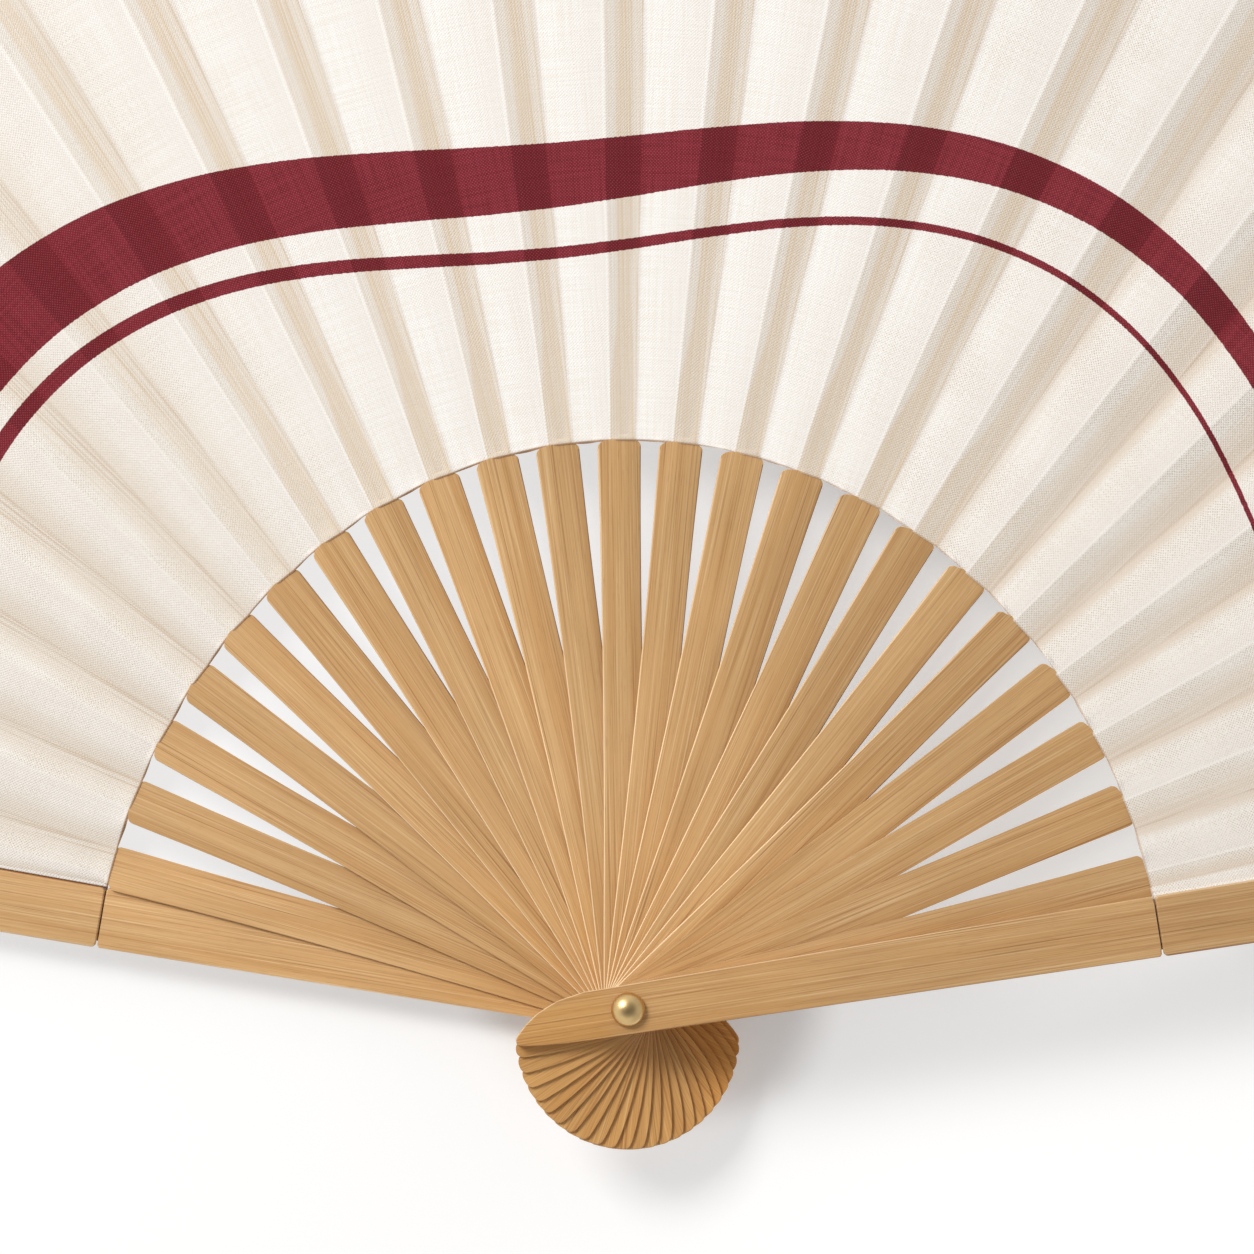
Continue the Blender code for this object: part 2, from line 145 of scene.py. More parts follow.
SHOULDER_STRETCH = (0.0035, 0.0012)
SHOULDER_PEEK = 0.0003
PEEK_REACH = (0.0008, 0.0022)
SHOULDER_HALF_WIDTH = 0.0038
SHOULDER_SIDES = (0.97, 1.25)
SHOULDER_LIFT_REACH = (0.00012, 0.00060)
HEM_WIDTH = 0.003
HEM_START = 1 - HEM_WIDTH / LEAF_LENGTH
HEM_STEP = 0.0012
HEM_THICKNESS = 0.00026
LAST_ROWS = (0.9992, 1.0)
VALLEY_ROUNDING = 0.0012
SOFT_VALLEY_ROUNDING = 0.0018
RIDGE_ROUNDING = 0.0004
VALLEY_SHARE = 0.35
RIDGE_SHARE = 0.2
BELLY_SHARE = 0.22
SOFT_BELLY_SHARE = 0.30
SOFT_STICKS = (4, 9)
EDGE_WAVE = 0.00035
EDGE_WAVE_LENGTH = 0.004
EDGE_WAVE_SEED = (4.7, 2.3, 0.6)
EDGE_CURL = 0.00026
EDGE_CURL_LENGTH = 0.0005
FOLD_WANDER = 0.00018
FOLD_WANDER_LENGTH = 0.028
FOLD_WANDER_SEED = (7.3, 3.1)
THREAD_SHIFT = (0.05, 0.011)
BLEND_REACH = 0.995
LEAF_ROWS = 38
EDGE_ROWS = (0.0, 0.0001, 0.0002, 0.0004, 0.0006, 0.0008, 0.0011)
DARK_SHARES = (0.0, 0.25, 0.45, 0.6, 0.72, 0.82, 0.91, 1.0)
BRIGHT_SHARES = (
    0.03, 0.065, 0.11, 0.17, 0.25, 0.34, 0.44, 0.54, 0.63, 0.71, 0.78, 0.84, 0.89, 0.93, 0.96, 0.98,
)

# Guards: the slot for the leaf's end between the tongue and the slat
GUARD_THICKNESS = 0.0022
SLAT_THICKNESS = 0.0009
SLOT_HALF_HEIGHT = 0.0003
TONGUE_RELIEF = 0.0005
GUARD_SEAM_HALF_WIDTH = 0.0052
SLAT_TIP_HALF_WIDTH = 0.0059
SLOT_STRIP_START = 0.0030
SLOT_SHARES = (0.0, 0.6, 0.94)
LIP_BEND = ((-0.00012, 0.06), (-0.00002, 0.25), (0.0, 0.5), (0.00003, 0.75), (0.00014, 0.95))
LIP_GAP = 0.0003
LIP_SIDE_GAP = 0.00014
LIP_STEP = 0.0004

# Rivet
HEAD_RADIUS = 0.0029
HEAD_HEIGHT = 0.0024
HEAD_RIM = 0.0003
PIN_RADIUS = 0.0011
REAR_HEAD_RADIUS = 0.0021
REAR_HEAD_FLAT_RADIUS = 0.0014
REAR_HEAD_HEIGHT = 0.00055
WASHER_RADIUS = 0.0031
WASHER_BORE = 0.00135
WASHER_THICKNESS = 0.0005
WASHER_EDGE = 0.00012
TURNED_SIDES = 96
TURNED_MERGE = 0.0000005
DOME_STEPS = 20
HEAD_RIM_STEPS = 4
REAR_HEAD_STEPS = 6
WASHER_STEPS = 3

# Bamboo: ranges with the strengths they give. A row of FIBRES is the length, width, detail and seed of
# the fine fibres, the lines, their patches, the broad fibres, the pores or the cloud
STICK_SEED = 8.0
FIBRE_SHIFT = (7.31, 3.17)
FIBRE_ROUGHNESS = 0.55
FIBRES = (
    (0.030, 0.00020, 2.0, 1),
    (0.060, 0.00030, 2.0, 2),
    (0.045, 0.0024, 1.0, 3),
    (0.110, 0.0026, 2.0, 4),
    (0.0030, 0.00014, 1.0, 5),
    (0.030, 0.008, 2.0, 6),
)
PALE_RANGE = (0.30, 0.70)
FINE_DARK = (0.50, 0.74, 0.0, 0.45)
FINE_PALE = (0.46, 0.28, 0.0, 0.36)
LINE_RANGE = (0.58, 0.68)
PATCH_RANGE = (0.42, 0.62, 0.10, 0.72)
PORE_RANGE = (0.60, 0.74, 0.0, 0.26)
# Where the tails, and the sticks near the rivet, take a darker, warmer tint: handling, and painted warm shade
TAIL_ZONE_REACH = (0.002, -0.006)
NEAR_REACH = (0.045, 0.010, 0.0, 0.45)
# Painted shade on the tails that point right, in the front guard's shadow: the sticks' course in degrees, and the
# tint
TAIL_SHADE_DEG = (112, 150)
TAIL_SHADE_TINT = (1.22, 1.08, 0.80)
ROUNDED_RANGE = (0.05, 0.30)
# Painted highlight on the rounded edges that face the soft box's side: which way they face, how far along, how
# upright
HIGHLIGHT_FACING = (0.16, 0.62)
HIGHLIGHT_REACH = (0.048, 0.072, 0.90, 0.42)
HIGHLIGHT_UPRIGHT = 0.35
# Painted shade on the rounded edges that face away from the soft box, strongest on the tails
EDGE_SHADE_FACING = (-0.40, -0.82)
EDGE_SHADE_REACH = (0.045, 0.005, 0.70, 1.0)
EDGE_SHADE_UPRIGHT = 0.10
CLOUD_RANGE = (0.3, 0.7, 0.95, 1.04)
FIBRE_HEIGHT = 0.000010
STREAK_DEPTH = 0.000012
WOOD_ROUGHNESS = (0.3, 0.7, 0.42, 0.56)

# Brass
TURNING_MARK = 0.00009
TARNISH_SIZE = 0.0012
TARNISH_SHADE = 0.80
TARNISH_RANGE = (0.35, 0.75, 0.0, 0.35)
TARNISH_ROUGHENING = (0.3, 0.7)
BRASS_ROUGHENING = (-0.03, 0.05)
PIN_FINISH = ((0.66, 0.46, 0.21), 0.31, 0.0000003)
WASHER_FINISH = ((0.66, 0.46, 0.20), 0.36, 0.000003)

# Cloth: its threads, and ranges with the strengths they give
THREAD = 0.00056
THREAD_BEND = (0.004, 0.004)
THREAD_DRIFT = 0.0006
ROW_SLUBS = (0.012, 0.00042)
COLUMN_SLUBS = (0.00042, 0.018)
SLUB_HEIGHT = 1.6
WEAVE_RELIEF = 0.000035
CLOTH_ROUGHNESS = 0.85
SIDES_DEG = (22, 50)
CREAM = (0.912, 0.893, 0.864)
CREAM_SIDES = (0.900, 0.855, 0.795)
SLUB_RANGE = (0.80, 1.25, 0.0, 0.55)
SLUB_CREAM = (0.840, 0.775, 0.690)
PATCHY_SIZES = (0.009, 0.014)
PATCHY_RANGE = (0.35, 0.65, 0.30, 1.0)
KNOT_RANGE = (0.0, -1.0, 0.0, 0.42)
KNOT_SHADE = (0.60, 0.50, 0.40)
COARSE_RIGHT = (-8, -42, 0.30, 3.40)
COARSE_LEFT = (15, 45, 0.0, 1.80)
GRIT_SIZES = (0.00042, 0.00034)
GRIT_RANGE = (0.36, 0.64, 0.25, 1.9)

# Painted shade and highlights in the pleats, and the slips showing through: where across a panel, how strong
RIGHT_DEG = (-22, -45)
STREAK_SIZES = (0.00026, 0.040)
GRADE_RANGE = (0.10, 0.95, 0.0, 1.30)
SHADED_STREAKS = (0.35, 0.7, 0.45, 0.85)
FOOT_RANGE = (0.72, 0.05, 0.0, 0.92)
HEEL_RANGE = (0.30, 0.08, 0.0, 0.85)
PANEL_SHADE = (0.815, 0.715, 0.605)
PANEL_SHADE_SLACK = (0.735, 0.650, 0.555)
PANEL_SHADE_RIGHT = (0.770, 0.655, 0.545)
SLIP_LOW_EDGE = (0.098, 0.120, -0.10, 0.30)
SLIP_HIGH_EDGE = (0.098, 0.125, 1.0, 0.74)
SLIP_BLUR = 0.06
SLIP_AT_SIDES = 0.20
SLIP_STREAKS = (0.3, 0.75, 0.30, 0.85)
SLIP_SHOWING = (0.755, 0.595, 0.420)
# Painted shade that darkens each bright panel a little towards its ridge
GRADIENT_SHADE_RANGE = (0.15, 0.95, 0.0, 0.50)
GRADIENT_SHADE = (0.835, 0.775, 0.725)
# Painted highlight along the ridges
RIDGE_RANGE = (0.945, 0.975)
CREST_RANGE = (0.04, 0.0)
RIDGE_SLACK = (0.0, 1.0, 0.60, 0.15)
RIDGE_RIGHT = (-20, -45, 1.0, 0.75)
RIDGE_HIGHLIGHT = (0.965, 0.935, 0.890)
# Painted shade along the valleys, and on the slack pleats towards them
CREASE_START = (0.0, 1.0, 0.90, 0.80)
CREASE_END = 0.985
CREASE_BEYOND = (0.08, 0.0)
CREASE_STREAKS = (0.35, 0.65, 0.08, 0.50)
CREASE_SHADE = (0.590, 0.450, 0.320)
VALLEY_SHADE_RANGE = (0.30, 0.85)
VALLEY_SHADE_STREAKS = (0.48, 0.64, 0.0, 0.65)
# Painted shade along the cloth's lower edge
EDGE_RISE = (0.00040, 0.00012)
EDGE_TURN = (-30, 15, 0.45, 0.95)
LOWER_EDGE_SHADE = (0.380, 0.200, 0.090)

# Print: a wavy band and a line below it that taper from left to right, and a line along the rim
WAVE_TURNS = 5.0
WAVE_HEIGHT = 0.0078
WAVE_START_DEG = 62.0
TAPER_SPAN_DEG = (-70.0, 70.0)
STRIPES = ((0.1500, 0.0022, 0.0082), (0.1368, 0.0004, 0.0015))
RIM_STRIPE = (0.2035, 0.0009)
INK_EDGE = 0.00007
BLEED = 0.00015
INK_KNOTS = (0.15, 1.0, 1.0, 0.92)
INK_SLUBS = (0.7, 1.35)
INK_SHADE_SHARE = 0.60
BURGUNDY = (0.232, 0.015, 0.028)
BURGUNDY_SLUB = (0.160, 0.005, 0.013)
BURGUNDY_SHADED = (0.136, 0.002, 0.008)

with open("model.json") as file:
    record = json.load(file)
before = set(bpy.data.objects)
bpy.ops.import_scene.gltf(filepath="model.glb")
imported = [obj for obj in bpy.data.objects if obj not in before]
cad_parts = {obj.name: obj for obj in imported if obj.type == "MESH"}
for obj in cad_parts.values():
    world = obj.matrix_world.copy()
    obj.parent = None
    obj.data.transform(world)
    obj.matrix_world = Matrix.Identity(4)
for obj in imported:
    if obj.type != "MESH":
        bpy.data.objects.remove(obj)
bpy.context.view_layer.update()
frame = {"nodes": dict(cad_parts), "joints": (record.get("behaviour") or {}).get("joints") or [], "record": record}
scene = bpy.context.scene


def stick_turns():
    """Each stick's direction, from the back guard's mount and the folds' full travel."""
    mounts = {mount["name"]: mount for mount in frame["record"]["mounts"]}
    place = mounts["back_guard_face"]["pos_m"]
    degrees = [math.degrees(math.atan2(place[1], place[0]))]
    for joint in frame["joints"]:
        degrees.append(degrees[-1] - joint["range_deg"][1])
    return [math.radians(turn) for turn in degrees]


STICK_TURNS = stick_turns()
BACK_GUARD_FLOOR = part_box("back_guard")[0].z
FRONT_GUARD_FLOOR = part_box("front_guard")[0].z
FIRST_RIB_FLOOR = BACK_GUARD_FLOOR + GUARD_THICKNESS + STICK_CLEARANCE
RIB_PITCH = (FRONT_GUARD_FLOOR - FIRST_RIB_FLOOR) / RIB_COUNT
FRONT_HEAD_SEAT = FRONT_GUARD_FLOOR + GUARD_THICKNESS + STICK_CLEARANCE


def between(first, second, share):
    return first + (second - first) * share


def body_name(index):
    if index == 0:
        return "back_guard"
    return "front_guard" if index == LAST else f"rib_{index:02d}"


class Look:
    """The nodes of a material or a world, with short calls that add them in the order they are read."""

    def __init__(self, owner):
        owner.use_nodes = True
        self.owner = owner
        self.tree = owner.node_tree
        self.shader = self.tree.nodes.get("Principled BSDF")

    def fill(self, socket, value):
        if isinstance(value, bpy.types.NodeSocket):
            self.tree.links.new(value, socket)
        else:
            socket.default_value = (*value, 1.0) if socket.type == "RGBA" else value

    def add(self, kind, inputs, output=0, **settings):
        made = self.tree.nodes.new(kind)
        for name, value in settings.items():
            setattr(made, name, value)
        for key, value in inputs.items():
            self.fill(made.inputs[key], value)
        return made.outputs[output]

    def math(self, operation, *values):
        return self.add("ShaderNodeMath", dict(enumerate(values)), operation=operation)

    def product(self, first, *others):
        for other in others:
            first = self.math("MULTIPLY", first, other)
        return first

    def greatest(self, first, *others):
        for other in others:
            first = self.math("MAXIMUM", first, other)
        return first

    def rest(self, value):
        """What a value leaves of 1."""
        return self.math("SUBTRACT", 1.0, value)

    def noise(self, vector, detail=2.0, roughness=0.5):
        inputs = {"Vector": vector, "Scale": 1.0, "Detail": detail, "Roughness": roughness}
        return self.add("ShaderNodeTexNoise", inputs)

    def specks(self, vector, sizes, detail=2.0):
        """Noise whose specks have the given sizes along the vector's first two or three axes."""
        scales = [1 / size for size in sizes] + [1.0] * (3 - len(sizes))
        scaled = self.add("ShaderNodeVectorMath", {0: vector, 1: scales}, operation="MULTIPLY")
        return self.noise(scaled, detail)

    def parts(self, vector):
        return self.add("ShaderNodeSeparateXYZ", {0: vector}).node.outputs

    def grey(self, value):
        return self.add("ShaderNodeCombineXYZ", dict.fromkeys(range(3), value))

    def map_values(self, name):
        """The two values of a UV map."""
        return self.parts(self.add("ShaderNodeUVMap", {}, uv_map=name))[:2]

    def ramp(self, value, low, high, to_low=0.0, to_high=1.0, smooth=True):
        inputs = {"Value": value, "From Min": low, "From Max": high, "To Min": to_low, "To Max": to_high}
        kind = "SMOOTHSTEP" if smooth else "LINEAR"
        return self.add("ShaderNodeMapRange", inputs, interpolation_type=kind)

    def turn_ramp(self, angle, low, high, *strengths):
        """A ramp between two angles in degrees."""
        return self.ramp(angle, math.radians(low), math.radians(high), *strengths)

    def mix(self, factor, first, second, blend="MIX"):
        made = self.tree.nodes.new("ShaderNodeMix")
        made.data_type = "RGBA"
        made.blend_type = blend
        self.fill(made.inputs[0], factor)
        self.fill(made.inputs[6], first)
        self.fill(made.inputs[7], second)
        return made.outputs[2]

    def finish(self, colour, roughness, height=None, relief=0.0, **fixed):
        self.fill(self.shader.inputs["Base Color"], colour)
        self.fill(self.shader.inputs["Roughness"], roughness)
        for name, value in fixed.items():
            self.shader.inputs[name.replace("_", " ")].default_value = value
        if height is not None:
            inputs = {"Height": height, "Distance": relief, "Strength": 1.0}
            self.fill(self.shader.inputs["Normal"], self.add("ShaderNodeBump", inputs))
        return self.owner


def wood():
    """Sanded bamboo. Each stick's maps give the place along and across it, its direction and tone."""
    look = Look(bpy.data.materials.new("bamboo"))
    along, lateral = look.map_values("grain")
    course, tone = look.map_values("stick")
    number = look.product(course, STICK_SEED)

    def fibres(length, width, detail, seed):
        x = look.math("MULTIPLY_ADD", number, FIBRE_SHIFT[0] + seed, look.product(along, 1 / length))
        y = look.math("MULTIPLY_ADD", number, FIBRE_SHIFT[1] * seed, look.product(lateral, 1 / width))
        place = look.add("ShaderNodeCombineXYZ", {0: x, 1: y, 2: number})
        return look.noise(place, detail, FIBRE_ROUGHNESS)

    fine, lines, patches, broad, pores, cloud = (fibres(*kind) for kind in FIBRES)
    pale = (0.655, 0.396, 0.173)
    middle = (0.580, 0.322, 0.123)
    dark = (0.300, 0.125, 0.032)
    # The pale colour (worn) serves the pale fibres, and also the painted highlight on the lit edges
    worn = (0.940, 0.715, 0.440)
    shaded = (0.290, 0.080, 0.010)
    handling_and_warm_shade = (1.000, 0.900, 0.680)
    colour = look.mix(look.ramp(broad, *PALE_RANGE), middle, pale)
    colour = look.mix(look.ramp(fine, *FINE_DARK), colour, dark)
    colour = look.mix(look.ramp(fine, *FINE_PALE), colour, worn)
    streaks = look.product(look.ramp(lines, *LINE_RANGE), look.ramp(patches, *PATCH_RANGE))
    colour = look.mix(streaks, colour, dark)
    colour = look.mix(look.ramp(pores, *PORE_RANGE), colour, dark)

    # Tails and sticks near the rivet are darker and warmer: handling, and painted warm shade where the sticks
    # overlap
    tail_zone = look.ramp(along, *TAIL_ZONE_REACH)
    near = look.ramp(along, *NEAR_REACH)
    colour = look.mix(look.greatest(tail_zone, near), colour, handling_and_warm_shade, "MULTIPLY")
    # Painted shade: the tails pointing right, under the front guard, are tinted darker and warmer
    tail_shade = look.product(tail_zone, look.turn_ramp(course, *TAIL_SHADE_DEG))
    colour = look.mix(tail_shade, colour, TAIL_SHADE_TINT, "MULTIPLY")
    normal = look.parts(look.add("ShaderNodeTexCoord", {}, output="Normal"))
    facing = look.math("SUBTRACT", look.product(normal[1], look.math("COSINE", course)),
                       look.product(normal[0], look.math("SINE", course)))
    rounded = look.ramp(normal[2], *ROUNDED_RANGE)
    # Painted highlight: rounded edges facing the soft box's side take the pale colour, most near the rivet
    edge_highlight = look.product(look.ramp(facing, *HIGHLIGHT_FACING), look.ramp(along, *HIGHLIGHT_REACH),
                          look.ramp(rounded, 0.0, 1.0, HIGHLIGHT_UPRIGHT, 1.0))
    colour = look.mix(edge_highlight, colour, worn)
    # Painted shade: rounded edges facing away from the light take the shaded colour, most on the tails
    edge_shade = look.product(look.ramp(facing, *EDGE_SHADE_FACING), look.ramp(along, *EDGE_SHADE_REACH),
                          look.ramp(rounded, 0.0, 1.0, EDGE_SHADE_UPRIGHT, 1.0))
    colour = look.mix(edge_shade, colour, shaded)
    shade = look.product(tone, look.ramp(cloud, *CLOUD_RANGE))
    colour = look.mix(1.0, colour, look.grey(shade), "MULTIPLY")
    crown = look.product(look.math("POWER", look.math("ABSOLUTE", lateral), 2.0),
                         -CROWN_HEIGHT / CROWN_HALF_WIDTH**2)
    height = look.math("MULTIPLY_ADD", fine, FIBRE_HEIGHT, crown)
    height = look.math("MULTIPLY_ADD", streaks, -STREAK_DEPTH, height)
    return look.finish(colour, look.ramp(fine, *WOOD_ROUGHNESS), height, 1.0)


def brass(name, colour, roughness, relief):
    """Satin brass, with faint turning marks round the rivet's axis."""
    look = Look(bpy.data.materials.new(name))
    where = look.add("ShaderNodeTexCoord", {}, output="Object")
    x, y, level = look.parts(where)
    radius = look.math("SQRT", look.math("ADD", look.product(x, x), look.product(y, y)))
    rings = {0: look.product(radius, 1 / TURNING_MARK), 1: look.product(level, 1 / TURNING_MARK)}
    marks = look.noise(look.add("ShaderNodeCombineXYZ", rings))
    tarnish = look.specks(where, (TARNISH_SIZE,) * 3, 3.0)
    darker = (TARNISH_SHADE * part for part in colour)
    tint = look.mix(look.ramp(tarnish, *TARNISH_RANGE), colour, darker)
    rough = look.ramp(tarnish, *TARNISH_ROUGHENING, *(roughness + step for step in BRASS_ROUGHENING))
    return look.finish(tint, rough, marks, relief, Metallic=1.0)


def weave(look, place):
    """A plain weave along and across each pleat: its height, its knots, its slubs and its columns."""
    bend = look.specks(place, THREAD_BEND)
    drift = look.product(look.math("SUBTRACT", bend, 0.5), THREAD_DRIFT)
    knots = look.product(*(
        look.math("SINE", look.product(look.math("ADD", value, drift), 2 * math.pi / THREAD))
        for value in look.parts(place)[:2]
    ))
    columns = look.specks(place, COLUMN_SLUBS)
    slubs = look.math("ADD", look.specks(place, ROW_SLUBS), columns)
    height = look.math("ADD", knots, look.product(slubs, SLUB_HEIGHT))
    return height, knots, slubs, columns


def cloth():
    """Cream cotton, printed in burgundy. The slips' wood shows through the panels over the ribs. Painted shade and
    highlights follow the pleats.
    """
    look = Look(bpy.data.materials.new("leaf_cloth_printed"))
    threads = look.add("ShaderNodeUVMap", {}, uv_map="threads")
    share, bright = look.map_values("panel")
    turn, reach = look.map_values("print")
    rise, slack = look.map_values("edge")
    height, knots, slubs, columns = weave(look, threads)
    side = look.turn_ramp(look.math("ABSOLUTE", turn), *SIDES_DEG)
    colour = look.mix(side, CREAM, CREAM_SIDES)
    colour = look.mix(look.ramp(slubs, *SLUB_RANGE), colour, SLUB_CREAM)
    patchy = look.ramp(look.specks(threads, PATCHY_SIZES, 1.0), *PATCHY_RANGE)
    coarse = look.math("ADD", look.turn_ramp(turn, *COARSE_RIGHT), look.turn_ramp(turn, *COARSE_LEFT))
    grit = look.ramp(look.specks(threads, GRIT_SIZES, 1.0), *GRIT_RANGE)
    depth = look.product(look.product(patchy, look.ramp(knots, *KNOT_RANGE)), look.product(coarse, grit))
    colour = look.mix(depth, colour, KNOT_SHADE)

    # Painted shade in the pleats: the panels over the ribs are tinted darker, towards the valleys on the slack and
    # right pleats, and there the bright panels darken next to the valleys
    dark = look.rest(bright)
    right = look.turn_ramp(turn, *RIGHT_DEG)
    streaks = look.specks(threads, STREAK_SIZES)
    loose = look.greatest(slack, right)
    grade = look.greatest(look.rest(loose), look.ramp(share, *GRADE_RANGE))
    shaded = look.product(dark, grade, look.ramp(streaks, *SHADED_STREAKS))
    foot = look.product(bright, slack, look.ramp(share, *FOOT_RANGE))
    heel = look.product(bright, right, look.ramp(share, *HEEL_RANGE))
    shaded = look.math("ADD", look.math("ADD", shaded, foot), heel)
    tint = look.mix(slack, PANEL_SHADE, PANEL_SHADE_SLACK)
    tint = look.mix(right, tint, PANEL_SHADE_RIGHT)
    colour = look.mix(shaded, colour, tint)
    low = look.math("SUBTRACT", share, look.ramp(reach, *SLIP_LOW_EDGE))
    high = look.math("SUBTRACT", look.ramp(reach, *SLIP_HIGH_EDGE), share)
    slip = look.product(look.ramp(low, -SLIP_BLUR, SLIP_BLUR), look.ramp(high, -SLIP_BLUR, SLIP_BLUR))
    slip = look.product(slip, look.product(dark, look.ramp(side, 0.0, 1.0, 1.0, SLIP_AT_SIDES)))
    colour = look.mix(look.product(slip, look.ramp(streaks, *SLIP_STREAKS)), colour, SLIP_SHOWING)

    # Painted shade: each bright panel darkens a little from its valley towards its ridge
    gradient_shade = look.product(bright, look.ramp(share, *GRADIENT_SHADE_RANGE))
    colour = look.mix(gradient_shade, colour, GRADIENT_SHADE)
    # Painted highlight: a pale line along each ridge, on both sides of it, weaker on the slack pleats
    ridge = look.product(bright, look.ramp(share, *RIDGE_RANGE))
    crest = look.product(dark, look.ramp(share, *CREST_RANGE))
    ridge = look.product(look.math("ADD", ridge, crest), look.ramp(slack, *RIDGE_SLACK),
                         look.turn_ramp(turn, *RIDGE_RIGHT))
    colour = look.mix(ridge, colour, RIDGE_HIGHLIGHT)
    # Painted shade: a streaky brown line along each valley, and on the slack pleats brown streaks (worn) darkening
    # the panel over the rib towards its valley
    start = look.ramp(slack, *CREASE_START)
    crease = look.math("ADD", look.product(dark, look.ramp(share, start, CREASE_END)),
                       look.product(bright, look.ramp(share, *CREASE_BEYOND)))
    crease = look.product(crease, look.ramp(streaks, *CREASE_STREAKS))
    worn = look.product(dark, slack, look.ramp(share, *VALLEY_SHADE_RANGE), look.ramp(streaks, *VALLEY_SHADE_STREAKS))
    colour = look.mix(look.greatest(crease, worn), colour, CREASE_SHADE)
    # Painted shade: a brown line along the cloth's lower edge, stronger towards the left
    edge = look.product(look.ramp(rise, *EDGE_RISE), look.turn_ramp(turn, *EDGE_TURN))
    colour = look.mix(edge, colour, LOWER_EDGE_SHADE)

    phase = look.math("MULTIPLY_ADD", turn, WAVE_TURNS, math.radians(WAVE_START_DEG))
    waved = look.math("MULTIPLY_ADD", look.math("SINE", phase), WAVE_HEIGHT, reach)
    bleed = look.math("MULTIPLY_ADD", columns, 2 * BLEED, -BLEED)

    def stripe(place, middle, half_width):
        off = look.math("ABSOLUTE", look.math("SUBTRACT", look.math("ADD", place, bleed), middle))
        return look.ramp(look.math("SUBTRACT", off, half_width), -INK_EDGE, INK_EDGE, 1.0, 0.0)

    ink = stripe(reach, *RIM_STRIPE)
    for middle, *halves in STRIPES:
        ink = look.greatest(ink, stripe(waved, middle, look.turn_ramp(turn, *TAPER_SPAN_DEG, *halves)))
    burgundy = look.mix(look.ramp(slubs, *INK_SLUBS), BURGUNDY, BURGUNDY_SLUB)
    burgundy = look.mix(look.product(dark, INK_SHADE_SHARE), burgundy, BURGUNDY_SHADED)
    ink = look.product(ink, look.ramp(knots, *INK_KNOTS))
    return look.finish(look.mix(ink, colour, burgundy), CLOTH_ROUGHNESS, height, WEAVE_RELIEF,
                       Sheen_Weight=0.06, Sheen_Roughness=0.5, Specular_IOR_Level=0.28)


def stick_point(index, radius, lateral, height):
    """The point at a radius from the rivet and a distance to the left of a stick's middle line."""
    along = math.sqrt(radius**2 - lateral**2)
    turn = Matrix.Rotation(STICK_TURNS[index], 3, "Z")
    return turn @ Vector((along, lateral, height))


def leaf_inner(place):
    """The radius of the leaf's lower edge at a place in the stack of sticks."""
    arch = math.sin(math.pi * min(max(place / LAST, 0.0), 1.0)) ** LEAF_ARCH_POWER
    return LEAF_INNER_GUARD + LEAF_INNER_RISE * arch - SHOULDER_COVER


def length_share(radius):
    return (radius - LEAF_INNER_GUARD) / LEAF_LENGTH


def smooth(value, low, high):
    step = min(max((value - low) / (high - low), 0.0), 1.0)
    return step * step * (3 - 2 * step)


def stack_place(index):
    """-1 for the first rib, 0 for the middle one and 1 for the last."""
    return (2 * index - 1 - RIB_COUNT) / (RIB_COUNT - 1)


def side_share(index):
    """How far a rib counts as one of the left side's, and as one of the right side's."""
    place = stack_place(index)
    return smooth(-place, *LEFT_REACH), smooth(place, *RIGHT_REACH)


def lean(index):
    """How steeply a rib leans over."""
    return PLEAT_SLOPE * min(1.0, min(index, LAST - index) / SLOPE_RAMP_STICKS)


def pleat_slope(index):
    """How steeply the cloth over a rib leans: less than the rib itself on the right."""
    return lean(index) * (1 + (RIGHT_SLOPE_SHARE - 1) * side_share(index)[1])


def slip_level(index):
    """The height of the cloth's middle over the middle line of a rib's slip."""
    rib_middle = FIRST_RIB_FLOOR + (index - 1) * RIB_PITCH + RIB_THICKNESS / 2
    return rib_middle + SLIP_THICKNESS - RIB_THICKNESS / 2 + GLUE_LINE + CLOTH_THICKNESS / 2


def cloth_level(index):
    return slip_level(index) + RIGHT_LIFT * side_share(index)[1]


def softness(index):
    """1 for the slack pleats by the back guard, and 0 past them."""
    return 1.0 - smooth(index, *SOFT_STICKS)


def wander(index, side, radius):
    """How far a fold strays from its straight line, so that no two pleats are alike."""
    place = (radius / FOLD_WANDER_LENGTH, FOLD_WANDER_SEED[0] * index, FOLD_WANDER_SEED[1] * side)
    return FOLD_WANDER * noise.noise(Vector(place))


def fold_offset(index, side, radius):
    """How far to the left of a rib's middle line its ridge (1) or its valley (-1) runs."""
    left, right = side_share(index)
    if side == 1:
        return between(*RIDGE_LATERAL, right) + abs(wander(index, side, radius))
    share = length_share(radius)
    degrees = VALLEY_DEG + VALLEY_BOW_DEG * 4 * share * (1 - share)
    degrees += VALLEY_LEFT_DEG * left + VALLEY_RIGHT_DEG * right
    if index == LAST - 1:
        degrees = VALLEY_LAST_DEG
    return -radius * math.sin(math.radians(degrees)) + wander(index, side, radius)


def rounding(distance, width, bend):
    """What eases a fold of the given change of slope, at a distance from it."""
    if abs(distance) >= width:
        return 0.0
    return bend * (width - abs(distance)) ** 2 / (4 * width)


def slot_level(index):
    floor = FRONT_GUARD_FLOOR if index == LAST else BACK_GUARD_FLOOR
    return floor + GUARD_THICKNESS - SLAT_THICKNESS - SLOT_HALF_HEIGHT


def lip_level(index):
    """The level of the cloth where it has come out past the slat, on the side of the ribs."""
    if index == LAST:
        return FRONT_GUARD_FLOOR + TONGUE_RELIEF - LIP_GAP
    return BACK_GUARD_FLOOR + GUARD_THICKNESS + LIP_GAP


